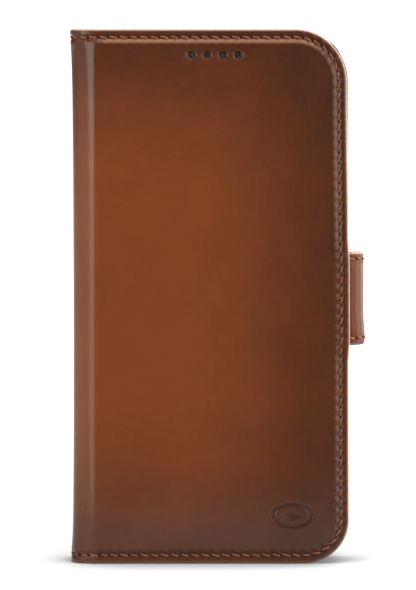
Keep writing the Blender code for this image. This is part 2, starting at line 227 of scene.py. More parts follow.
@dataclass
class Blank:
    """A flat cut of leather before it is shaped: straight at one end, with round corners at its free end.

    Its net has plain rows and columns inside, and closer rings along the free edges, where the seams run.
    """

    start: float
    end: float
    low: float
    high: float
    low_radius: float
    high_radius: float
    margin: float = 6.0
    pitch: float = 1.5
    rings: Sequence[float] = (5.2, 4.6, 4.2, 3.8, 3.4, 3.0, 2.65, 2.3, 1.95, 1.5, 1.0, 0.6, 0.36, 0.18, 0.06, 0.0)
    fine_columns: Sequence[tuple[float, float, float]] = ()
    fine_rows: Sequence[tuple[float, float, float]] = ()
    bend_pitch: float = 1.1
    along: Array = field(init=False)
    up: Array = field(init=False)
    edge: Array = field(init=False)
    run: Array = field(init=False)
    faces: list[tuple[int, ...]] = field(init=False)
    loop: list[int] = field(init=False)

    def __post_init__(self) -> None:
        """Lay the net."""
        columns = self._columns()
        rows = self._spaced(self.low + self.margin, self.high - self.margin, self.fine_rows)
        shares = (rows - rows[0]) / (rows[-1] - rows[0])
        bottoms, tops = self._limits(columns)
        across, rise = len(columns), len(rows)
        inner_along = np.repeat(columns[:, None], rise, 1)
        inner_up = bottoms[:, None] + shares[None, :] * (tops - bottoms)[:, None]
        number = np.arange(across * rise).reshape(across, rise)
        self.faces = [
            (number[i, j], number[i + 1, j], number[i + 1, j + 1], number[i, j + 1])
            for i in range(across - 1) for j in range(rise - 1)
        ]
        rim = np.concatenate([number[:, 0], number[-1, 1:], number[-2::-1, -1]])
        spots = np.stack([inner_along.ravel(), inner_up.ravel()], 1)
        bases, ways = self._doubled(spots[rim], self._outward(spots[rim]))
        alongs, ups, edges, runs = [inner_along.ravel()], [inner_up.ravel()], [], []
        seam = bases + ways * (self.margin - 2.5)
        seam_run = travelled(seam)
        edges.append(self.edge_distance(alongs[0], ups[0]))
        runs.append(np.zeros(across * rise))
        count, size = across * rise, len(bases)
        previous: Optional[Array] = None
        low_ends, high_ends = [], []
        for inset in self.rings:
            ring = bases + ways * (self.margin - inset)
            current = np.arange(count, count + size)
            alongs.append(ring[:, 0])
            ups.append(ring[:, 1])
            edges.append(np.full(size, inset))
            runs.append(seam_run)
            if previous is None:
                for step in range(len(rim) - 1):
                    a, b = rim[step], rim[step + 1]
                    one, two, three = current[2 * step:2 * step + 3]
                    self.faces += [(a, one, two), (a, two, b), (b, two, three)]
            else:
                self.faces += [
                    (previous[k], current[k], current[k + 1], previous[k + 1]) for k in range(size - 1)
                ]
            previous = current
            low_ends.append(int(current[0]))
            high_ends.append(int(current[-1]))
            count += size
        self.along, self.up = np.concatenate(alongs), np.concatenate(ups)
        self.edge, self.run = np.concatenate(edges), np.concatenate(runs)
        left_side = [int(index) for index in number[0, ::-1]]
        self.loop = [int(index) for index in previous] + high_ends[-2::-1] + left_side + low_ends[:-1]

    def _spaced(self, low: float, high: float, fine: Sequence[tuple[float, float, float]]) -> Array:
        """Return places from low to high, closer together in the fine stretches."""
        values = [low]
        while values[-1] < high - 1e-6:
            here = values[-1]
            step = self.pitch
            for fine_low, fine_high, fine_step in fine:
                if fine_low <= here < fine_high:
                    step = fine_step
                elif here < fine_low < here + step:
                    step = fine_low - here
            values.append(min(here + step, high))
        if values[-1] - values[-2] < 0.3 * self.pitch and len(values) > 3 and not fine:
            values.pop(-2)
        return np.array(values)

    def _columns(self) -> Array:
        """Return the columns' places, closing up towards the free end's round corners."""
        radius = max(self.low_radius, self.high_radius)
        straight = self._spaced(self.start, self.end - radius, self.fine_columns)
        bend = radius - self.margin
        steps = max(4, int(bend * pi / 2 / min(self.pitch, self.bend_pitch)))
        turns = np.linspace(0.0, pi / 2, steps + 1)[1:]
        curved = self.end - radius + bend * np.sin(turns)
        return np.concatenate([straight, curved])

    def _limits(self, columns: Array) -> tuple[Array, Array]:
        """Return the inner net's lowest and highest place at each column."""
        ends = []
        for level, radius, way in ((self.low, self.low_radius, 1.0), (self.high, self.high_radius, -1.0)):
            bend = radius - self.margin
            past = np.clip(columns - (self.end - radius), 0.0, bend)
            ends.append(level + way * (radius - np.sqrt(np.maximum(bend * bend - past * past, 0.0))))
        return ends[0], ends[1]

    def _outward(self, spots: Array) -> Array:
        """Return the way to the nearest free edge from spots on the inner net's border."""
        ways = np.zeros_like(spots)
        middle = (self.low + self.high) / 2
        for index, (along, up) in enumerate(spots):
            if up <= middle:
                radius, centre_up, way = self.low_radius, self.low + self.low_radius, -1.0
            else:
                radius, centre_up, way = self.high_radius, self.high - self.high_radius, 1.0
            past = along - (self.end - radius)
            if past <= 1e-6:
                ways[index] = (0.0, way)
            elif (up - centre_up) * way <= 1e-6:
                ways[index] = (1.0, 0.0)
            else:
                ways[index] = np.array([past, up - centre_up]) / np.hypot(past, up - centre_up)
        return ways

    @staticmethod
    def _doubled(bases: Array, ways: Array) -> tuple[Array, Array]:
        """Return the border's spots and outward ways with one more between each two."""
        count = len(bases)
        full, turned = np.zeros((2 * count - 1, 2)), np.zeros((2 * count - 1, 2))
        full[::2], turned[::2] = bases, ways
        full[1::2] = (bases[1:] + bases[:-1]) / 2
        between = ways[1:] + ways[:-1]
        turned[1::2] = between / np.linalg.norm(between, axis=1)[:, None]
        return full, turned

    def edge_distance(self, along: Array, up: Array) -> Array:
        """Return how far places lie from the nearest free edge."""
        plain = np.minimum(np.minimum(up - self.low, self.high - up), self.end - along)
        for radius, centre_up, way in (
            (self.low_radius, self.low + self.low_radius, -1.0),
            (self.high_radius, self.high - self.high_radius, 1.0),
        ):
            past, beyond = along - (self.end - radius), (up - centre_up) * way
            round_part = (past > 0) & (beyond > 0)
            plain = np.where(round_part, radius - np.hypot(past, beyond), plain)
        return plain

    def border(self, inset: float, step: float = 0.25, end_too: bool = True) -> list[Array]:
        """Return the lines that run round the free edges at an inset.

        Args:
            inset: how far the line lies inside the edge.
            step: the spacing of its points.
            end_too: whether the line runs round the free end or only along the two sides.

        Returns:
            One line of (along, up) points, or one for each side.
        """
        corners = ((self.low_radius - inset, self.low + self.low_radius, -90.0, 0.0),
                   (self.high_radius - inset, self.high - self.high_radius, 0.0, 90.0))
        low_side = line((self.start, self.low + inset), (self.end - self.low_radius, self.low + inset), step)
        high_side = line((self.end - self.high_radius, self.high - inset), (self.start, self.high - inset), step)
        if not end_too:
            return [low_side, high_side]
        bends = [
            arc((self.end - radius - inset, centre), radius, start, end, step)
            for radius, centre, start, end in corners
        ]
        upright = line((self.end - inset, corners[0][1]), (self.end - inset, corners[1][1]), step)
        return [joined(low_side, bends[0], upright, bends[1], high_side)]


# ---- meshes -------------------------------------------------------------------------------------------------
def new_piece(name: str, mesh: bpy.types.Mesh, materials: Sequence[bpy.types.Material]) -> bpy.types.Object:
    """Return a new object for a mesh, with its materials."""
    for material in materials:
        mesh.materials.append(material)
    piece = bpy.data.objects.new(name, mesh)
    bpy.context.scene.collection.objects.link(piece)
    return piece


def face_outwards(mesh: bpy.types.Mesh) -> None:
    """Turn a closed mesh's faces outwards."""
    work = bmesh.new()
    work.from_mesh(mesh)
    bmesh.ops.recalc_face_normals(work, faces=work.faces)
    work.to_mesh(mesh)
    work.free()


def shade_smooth(mesh: bpy.types.Mesh, sharp: float = 50.0) -> None:
    """Shade a mesh smoothly, except across edges sharper than an angle in degrees."""
    mesh.polygons.foreach_set("use_smooth", [True] * len(mesh.polygons))
    mesh.set_sharp_from_angle(angle=radians(sharp))


def leather_shell(
    name: str, blank: Blank, shown: Array, hidden: Array, lay: Array,
    materials: Sequence[bpy.types.Material], raw_edge: float = 0.42,
) -> bpy.types.Object:
    """Return a closed sheet between a shown and a hidden face.

    Args:
        name: the piece's name.
        blank: the net that both faces share.
        shown: the shown face's points in layout millimetres.
        hidden: the hidden face's points.
        lay: the place of each point on the flat leather, for its pattern.
        materials: the face's finish and the cut edge's finish.
        raw_edge: how far the cut edge's finish reaches in from the edge.

    Returns:
        The new piece.
    """
    count = len(shown)
    flat = [tuple(int(index) for index in face) for face in blank.faces]
    under = [tuple(index + count for index in reversed(face)) for face in flat]
    loop = blank.loop
    rim = [
        (loop[k], loop[(k + 1) % len(loop)], loop[(k + 1) % len(loop)] + count, loop[k] + count)
        for k in range(len(loop))
    ]
    mesh = bpy.data.meshes.new(name)
    points = DATUM.world(np.concatenate([shown, hidden]))
    mesh.from_pydata(points.tolist(), [], flat + under + rim)
    attribute = mesh.attributes.new(LAY, "FLOAT_VECTOR", "POINT")
    attribute.data.foreach_set("vector", np.concatenate([lay, lay]).astype(np.float32).ravel())
    near_edge = [max(blank.edge[index] for index in face) <= raw_edge for face in flat]
    slots = [int(near) for near in near_edge] + [0] * len(under) + [1] * len(rim)
    mesh.polygons.foreach_set("material_index", slots)
    face_outwards(mesh)
    shade_smooth(mesh)
    return new_piece(name, mesh, materials)


def prism(outline: Array, near: float, far: float) -> bpy.types.Object:
    """Return a closed upright block with this outline in x and z, between two depths."""
    count = len(outline)
    points = [(x, y, z) for y in (near, far) for x, z in outline]
    sides = [(k, (k + 1) % count, (k + 1) % count + count, k + count) for k in range(count)]
    mesh = bpy.data.meshes.new("cutter")
    ends = [tuple(range(count)), tuple(range(2 * count - 1, count - 1, -1))]
    mesh.from_pydata(DATUM.world(np.array(points)).tolist(), [], ends + sides)
    face_outwards(mesh)
    return new_piece("cutter", mesh, [])


def earpiece_cutters(middle: float, up: float, radius: float, sides: int, near: float, far: float) -> list:
    """Return round blocks for the row of earpiece holes.

    Args:
        middle: where the row's middle is along the case.
        up: the row's height.
        radius: the holes' radius.
        sides: the sides of each round block.
        near: the blocks' nearest depth.
        far: their farthest depth.

    Returns:
        One block for each hole.
    """
    turn = np.linspace(0.0, 2 * pi, sides + 1)[:-1]
    ring = np.stack([np.cos(turn), np.sin(turn)], 1) * radius
    offsets = [(number - (EAR_HOLES - 1) / 2) * EAR_PITCH for number in range(EAR_HOLES)]
    return [prism(ring + (middle + offset, up), near, far) for offset in offsets]


def cut_away(piece: bpy.types.Object, cutters: Sequence[bpy.types.Object], edge: int) -> None:
    """Cut blocks out of a closed piece.

    Args:
        piece: the piece to cut.
        cutters: the blocks, which are used up.
        edge: the number of the piece's material that the cut's walls get.
    """
    for cutter in cutters:
        for material in piece.data.materials:
            cutter.data.materials.append(material)
        cutter.data.polygons.foreach_set("material_index", [edge] * len(cutter.data.polygons))
        change = piece.modifiers.new("cut", "BOOLEAN")
        change.object, change.operation, change.solver = cutter, "DIFFERENCE", "EXACT"
    bake_modifiers(piece)
    for cutter in cutters:
        bpy.data.objects.remove(cutter)
    shade_smooth(piece.data)


def bake_modifiers(piece: bpy.types.Object) -> None:
    """Turn a piece's modifiers into plain mesh."""
    graph = bpy.context.evaluated_depsgraph_get()
    mesh = bpy.data.meshes.new_from_object(
        piece.evaluated_get(graph), preserve_all_data_layers=True, depsgraph=graph)
    piece.modifiers.clear()
    piece.data = mesh


def merged_copy(node: str, name: str, material: bpy.types.Material, width: float) -> bpy.types.Object:
    """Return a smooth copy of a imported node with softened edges.

    Args:
        node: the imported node.
        name: the copy's name.
        material: its finish.
        width: the width of its softened edges in millimetres.

    Returns:
        The new piece.
    """
    mesh = frame["nodes"][node].data.copy()
    mesh.materials.clear()
    work = bmesh.new()
    work.from_mesh(mesh)
    bmesh.ops.remove_doubles(work, verts=work.verts, dist=0.002 * MM)
    bmesh.ops.dissolve_limit(work, angle_limit=radians(1.0), verts=work.verts, edges=work.edges)
    work.to_mesh(mesh)
    work.free()
    mesh.polygons.foreach_set("material_index", [0] * len(mesh.polygons))
    piece = new_piece(name, mesh, [material])
    soften = piece.modifiers.new("softened", "BEVEL")
    soften.width, soften.segments = width * MM, 3
    soften.limit_method, soften.angle_limit = "ANGLE", radians(30.0)
    bake_modifiers(piece)
    shade_smooth(piece.data, 40.0)
    return piece


# ---- node trees ---------------------------------------------------------------------------------------------
def add_node(
    tree: bpy.types.NodeTree, kind: str, inputs: Union[dict, Sequence] = (), **settings: object,
) -> bpy.types.Node:
    """Add a node to a tree.

    Args:
        tree: the shader or geometry tree.
        kind: the node's type.
        inputs: each input's socket to link from, or its value, by name or number or in order. None leaves it.
        settings: the node's own properties.

    Returns:
        The new node.
    """
    node = tree.nodes.new(kind)
    for name, value in settings.items():
        setattr(node, name, value)
    for key, source in inputs.items() if isinstance(inputs, dict) else enumerate(inputs):
        if isinstance(source, bpy.types.NodeSocket):
            tree.links.new(source, node.inputs[key])
        elif source is not None:
            node.inputs[key].default_value = source
    return node


def geometry_tree(name: str, inputs: dict[str, str]) -> tuple[bpy.types.NodeTree, bpy.types.NodeOutputs]:
    """Return a new geometry tree with named inputs of these kinds, and their sockets."""
    tree = bpy.data.node_groups.new(name, "GeometryNodeTree")
    tree.interface.new_socket("Geometry", in_out="INPUT", socket_type="NodeSocketGeometry")
    for label, kind in inputs.items():
        tree.interface.new_socket(label, in_out="INPUT", socket_type=f"NodeSocket{kind}")
    tree.interface.new_socket("Geometry", in_out="OUTPUT", socket_type="NodeSocketGeometry")
    return tree, tree.nodes.new("NodeGroupInput").outputs


def grown(
    name: str, source: bpy.types.Mesh, tree: bpy.types.NodeTree, values: dict[str, object],
) -> bpy.types.Object:
    """Return what a geometry tree makes of a mesh, as a piece of plain mesh.

    Args:
        name: the piece's name.
        source: the mesh that the tree starts from.
        tree: the geometry tree.
        values: the value of each of its named inputs.

    Returns:
        The new piece.
    """
    piece = new_piece(name, source, [])
    change = piece.modifiers.new("made", "NODES")
    change.node_group = tree
    for item in tree.interface.items_tree:
        if getattr(item, "in_out", "") == "INPUT" and item.name in values:
            change[item.identifier] = values[item.name]
    bake_modifiers(piece)
    bpy.data.node_groups.remove(tree)
    return piece


@dataclass(frozen=True)
class Stitching:
    """A row of lock stitches: a short bowed thread between each two needle holes, in millimetres."""

    pitch: float = 3.2
    thread: float = 0.62
    length: float = 2.3
    slant: float = -14.0
    rise: float = 0.42
    hole: float = 1.3
    seed: int = 7
    sunk: float = 0.42
    hole_turn: float = -1.6
    hole_width: float = 1.25
    hole_depth: float = 1.05
    least: float = 0.93
    most: float = 1.06
    points_per_stitch: int = 8

    def tree(self) -> bpy.types.NodeTree:
        """Return the tree that sets stitches along lines whose points know which way the leather faces."""
        tree, value = geometry_tree("stitch_row", {
            "Count": "Int", "Pitch": "Float", "Thread": "Float", "Length": "Float", "Rise": "Float",
            "Hole": "Float", "Slant": "Float", "Seed": "Int", "Thread Finish": "Material",
            "Hole Finish": "Material"})
        start, end, sink, radius, shift, against = (
            add_node(tree, "ShaderNodeMath", (value[label], factor), operation="MULTIPLY").outputs[0]
            for label, factor in (("Length", -0.5), ("Length", 0.5), ("Thread", -self.sunk), ("Thread", 0.5),
                                  ("Pitch", 0.5), ("Slant", self.hole_turn))
        )
        wide = add_node(tree, "ShaderNodeMath", (value["Hole"], value["Thread"]), operation="DIVIDE")
        low, high, top, turn, aside, shape, tilt = (
            add_node(tree, "ShaderNodeCombineXYZ", parts).outputs[0] for parts in (
                {0: start, 2: sink}, {0: end, 2: sink}, {2: value["Rise"]}, {2: value["Slant"]},
                {0: shift, 2: sink}, (wide.outputs[0], self.hole_width, self.hole_depth), {2: against})
        )
        bow = add_node(tree, "GeometryNodeCurveQuadraticBezier", {
            "Resolution": 6, "Start": low, "Middle": top, "End": high})
        ring = add_node(tree, "GeometryNodeCurvePrimitiveCircle", {
            "Resolution": 7, "Radius": radius}, mode="RADIUS")
        thread = add_node(tree, "GeometryNodeCurveToMesh", {
            "Curve": bow.outputs[0], "Profile Curve": ring.outputs[0], "Fill Caps": True})
        slanted = add_node(tree, "GeometryNodeTransform", {"Geometry": thread.outputs[0], "Rotation": turn})
        dot = add_node(tree, "GeometryNodeMeshUVSphere", {"Segments": 8, "Rings": 5, "Radius": radius})
        pierced = add_node(tree, "GeometryNodeTransform", {
            "Geometry": dot.outputs[0], "Translation": aside, "Rotation": tilt, "Scale": shape})
        stitch = tree.nodes.new("GeometryNodeJoinGeometry")
        for part, finish in ((slanted, "Thread Finish"), (pierced, "Hole Finish")):
            finished = add_node(tree, "GeometryNodeSetMaterial", {
                "Geometry": part.outputs[0], "Material": value[finish]})
            tree.links.new(finished.outputs[0], stitch.inputs[0])
        curve = add_node(tree, "GeometryNodeMeshToCurve", {"Mesh": value["Geometry"]})
        spaced = add_node(tree, "GeometryNodeResampleCurve", {"Curve": curve.outputs[0], "Count": value["Count"]})
        facing = add_node(tree, "GeometryNodeInputNamedAttribute", {"Name": FACING}, data_type="FLOAT_VECTOR")
        upright = add_node(tree, "FunctionNodeAlignRotationToVector", {"Vector": facing.outputs[0]}, axis="Z")
        tangent = tree.nodes.new("GeometryNodeInputTangent")
        aligned = add_node(tree, "FunctionNodeAlignRotationToVector", {
            "Rotation": upright.outputs[0], "Vector": tangent.outputs[0]}, axis="X", pivot_axis="Z")
        size = add_node(tree, "FunctionNodeRandomValue", {
            2: self.least, 3: self.most, "Seed": value["Seed"]}, data_type="FLOAT")
        placed = add_node(tree, "GeometryNodeInstanceOnPoints", {
            "Points": spaced.outputs[0], "Instance": stitch.outputs[0], "Rotation": aligned.outputs[0],
            "Scale": size.outputs[1]})
        real = add_node(tree, "GeometryNodeRealizeInstances", {"Geometry": placed.outputs[0]})
        soft = add_node(tree, "GeometryNodeSetShadeSmooth", {0: real.outputs[0]})
        add_node(tree, "NodeGroupOutput", {0: soft.outputs[0]})
        return tree

    def row(
        self, name: str, points: Array, facing: Array, thread: bpy.types.Material, hole: bpy.types.Material,
    ) -> bpy.types.Object:
        """Return one row of stitches.

        Args:
            name: the piece's name.
            points: the seam's line in layout millimetres, from edge to edge.
            facing: which way the leather faces at each of its points.
            thread: the thread's finish.
            hole: the needle holes' finish.

        Returns:
            The row as one piece.
        """
        steps = np.linalg.norm(np.diff(points, axis=0), axis=1)
        run = np.concatenate([[0.0], np.cumsum(steps)])
        count = max(2, int(round(run[-1] / self.pitch)))
        pitch = run[-1] / count
        places = np.linspace(pitch / 2, run[-1] - pitch / 2, count * self.points_per_stitch)
        line_points, ways = (
            np.stack([np.interp(places, run, values[:, axis]) for axis in range(3)], 1)
            for values in (points, facing)
        )
        mesh = bpy.data.meshes.new(name)
        last = len(line_points) - 1
        mesh.from_pydata(DATUM.world(line_points).tolist(), [(k, k + 1) for k in range(last)], [])
        attribute = mesh.attributes.new(FACING, "FLOAT_VECTOR", "POINT")
        attribute.data.foreach_set("vector", ways.astype(np.float32).ravel())
        return grown(name, mesh, self.tree(), {
            "Count": count, "Pitch": pitch * MM, "Thread": self.thread * MM, "Length": self.length * MM,
            "Rise": self.rise * MM, "Hole": self.hole * MM, "Slant": radians(self.slant),
            "Seed": self.seed, "Thread Finish": thread, "Hole Finish": hole,
        })


@dataclass(frozen=True)
class WovenWire:
    """A patch of plain-woven wire, in millimetres.

    Real dust mesh has wires about 0.15 mm apart, drawn at 0.44 mm so that they show.
    """

    pitch: float = 0.44
    wire: float = 0.17
    points_per_crossing: float = 4.0

    def tree(self) -> bpy.types.NodeTree:
        """Return the tree that weaves wires over a plate in x and z."""
        tree, value = geometry_tree("woven_wire", {
            "Pitch": "Float", "Wire": "Float", "Width": "Float", "Height": "Float", "Middle": "Vector",
            "Finish": "Material"})
        known = {label: value[label] for label in ("Pitch", "Wire", "Width", "Height")}
        both = tree.nodes.new("GeometryNodeJoinGeometry")
        for length, spread, axis, other, way in (("Width", "Height", 0, 2, 1.0), ("Height", "Width", 2, 0, -1.0)):
            place = tree.nodes.new("GeometryNodeInputPosition")
            spot = add_node(tree, "ShaderNodeSeparateXYZ", (place.outputs[0],)).outputs
            known.update(x=spot[0], z=spot[2])
            for name, operation, *parts in (
                ("radius", "MULTIPLY", "Wire", 0.5), ("turn", "DIVIDE", pi, "Pitch"),
                ("low_end", "MULTIPLY", length, -0.5), ("high_end", "MULTIPLY", length, 0.5),
                ("share", "DIVIDE", spread, "Pitch"), ("half", "MULTIPLY", "share", 0.5),
                ("beside", "FLOOR", "half"),
                ("reach", "MULTIPLY", "beside", "Pitch"), ("first", "MULTIPLY", "reach", -1.0),
                ("count", "MULTIPLY_ADD", "beside", 2.0, 1.0), ("crossings", "DIVIDE", length, "Pitch"),
                ("points", "MULTIPLY", "crossings", self.points_per_crossing),
                ("angle_x", "MULTIPLY", "x", "turn"), ("wave_x", "COSINE", "angle_x"),
                ("angle_z", "MULTIPLY", "z", "turn"), ("wave_z", "COSINE", "angle_z"),
                ("wave", "MULTIPLY", "wave_x", "wave_z"), ("swing", "MULTIPLY", "radius", way),
                ("depth", "MULTIPLY", "wave", "swing"),
            ):
                sources = [known.get(part, part) for part in parts]
                known[name] = add_node(tree, "ShaderNodeMath", sources, operation=operation).outputs[0]
            start, end, low, step, bend = (
                add_node(tree, "ShaderNodeCombineXYZ", {part: known[name]}).outputs[0] for part, name in (
                    (axis, "low_end"), (axis, "high_end"), (other, "first"), (other, "Pitch"), (1, "depth"))
            )
            wire = add_node(tree, "GeometryNodeCurvePrimitiveLine", {"Start": start, "End": end})
            places = add_node(tree, "GeometryNodeMeshLine", {
                "Count": known["count"], "Start Location": low, "Offset": step}, mode="OFFSET", count_mode="TOTAL")
            laid = add_node(tree, "GeometryNodeInstanceOnPoints", {
                "Points": places.outputs[0], "Instance": wire.outputs[0]})
            real = add_node(tree, "GeometryNodeRealizeInstances", {"Geometry": laid.outputs[0]})
            split = add_node(tree, "GeometryNodeResampleCurve", {
                "Curve": real.outputs[0], "Count": known["points"]})
            woven = add_node(tree, "GeometryNodeSetPosition", {"Geometry": split.outputs[0], "Offset": bend})
            ring = add_node(tree, "GeometryNodeCurvePrimitiveCircle", {
                "Resolution": 5, "Radius": known["radius"]}, mode="RADIUS")
            round_wire = add_node(tree, "GeometryNodeCurveToMesh", {
                "Curve": woven.outputs[0], "Profile Curve": ring.outputs[0], "Fill Caps": True})
            tree.links.new(round_wire.outputs[0], both.inputs[0])
        placed = add_node(tree, "GeometryNodeTransform", {
            "Geometry": both.outputs[0], "Translation": value["Middle"]})
        real = add_node(tree, "GeometryNodeRealizeInstances", {"Geometry": placed.outputs[0]})
        bright = add_node(tree, "GeometryNodeSetMaterial", {
            "Geometry": real.outputs[0], "Material": value["Finish"]})
        add_node(tree, "NodeGroupOutput", {0: bright.outputs[0]})
        return tree

    def patch(self, name: str, low: Array, high: Array, finish: bpy.types.Material) -> bpy.types.Object:
        """Return a woven patch that fills a flat box.

        Args:
            name: the piece's name.
            low: the box's lowest corner in layout millimetres.
            high: its highest corner.
            finish: the wire's finish.

        Returns:
            The patch as one piece.
        """
        size = (high - low) * MM
        middle = DATUM.world((low + high) / 2)
        return grown(name, bpy.data.meshes.new(name), self.tree(), {
            "Pitch": self.pitch * MM, "Wire": self.wire * MM, "Width": float(size[0]),
            "Height": float(size[2]), "Middle": tuple(middle), "Finish": finish,
        })


# ---- finishes -----------------------------------------------------------------------------------------------
TIMES = {"operation": "MULTIPLY"}
LESS = {"operation": "SUBTRACT"}
TIMES_PLUS = {"operation": "MULTIPLY_ADD"}
SOFT_STEP = {"interpolation_type": "SMOOTHSTEP"}


class Grid(Enum):
    """What a finish's pattern is laid out on."""

    SHEET = "sheet"
    SPACE = "space"


class Recipe:
    """One material being made: its tree, its shader and its place in millimetres."""

    def __init__(self, name: str, grid: Grid) -> None:
        """Start a material whose pattern follows the flat sheet or the space round the piece."""
        self.material = bpy.data.materials.new(name)
        self.material.use_nodes = True
        self.tree = self.material.node_tree
        self.shader = self.tree.nodes["Principled BSDF"]
        if grid is Grid.SHEET:
            self.place = self.add("Attribute", (), "Vector", attribute_name=LAY)
        else:
            spot = self.add("TexCoord", (), "Object")
            self.place = self.add("VectorMath", {0: spot, "Scale": 1.0 / MM}, operation="SCALE")

    def add(
        self, kind: str, inputs: Union[dict, Sequence], output: Union[int, str] = 0, **settings: object,
    ) -> bpy.types.NodeSocket:
        """Add a shader node by the end of its type's name, and return one of its outputs."""
        return add_node(self.tree, f"ShaderNode{kind}", inputs, **settings).outputs[output]

    def set(self, **values: object) -> None:
        """Set the shader's own sockets."""
        for name, value in values.items():
            self.shader.inputs[name.replace("_", " ")].default_value = value

    def patterns(self, *grains: tuple[float, float, float]) -> list[bpy.types.NodeSocket]:
        """Return a soft pattern for each patch size in millimetres, detail and roughness."""
        return [
            self.add("TexNoise", {
                "Vector": self.place, "Scale": 1.0 / size, "Detail": detail, "Roughness": roughness})
            for size, detail, roughness in grains
        ]

    def tinted(self, colour: str, *layers: tuple[object, str]) -> bpy.types.NodeSocket:
        """Return a colour with tints laid over it, each after its share."""
        mixed = linear(colour)
        for share, tint in layers:
            mixed = self.add("Mix", {0: share, 6: mixed, 7: linear(tint)}, 2, data_type="RGBA")
        return mixed

    def embossed(self, *layers: tuple[object, float]) -> bpy.types.NodeSocket:
        """Return the surface's facing under layers of relief, each before its depth in millimetres."""
        facing = None
        for height, depth in layers:
            facing = self.add("Bump", {
                "Height": height, "Distance": depth * MM, "Strength": 1.0, "Normal": facing})
        return facing

    def done(self, colour: object, roughness: object, normal: Optional[object] = None) -> bpy.types.Material:
        """Link colour, roughness and facing to the shader and return the material."""
        for name, source in (("Base Color", colour), ("Roughness", roughness), ("Normal", normal)):
            if isinstance(source, bpy.types.NodeSocket):
                self.tree.links.new(source, self.shader.inputs[name])
            elif source is not None:
                self.shader.inputs[name].default_value = source
        return self.material


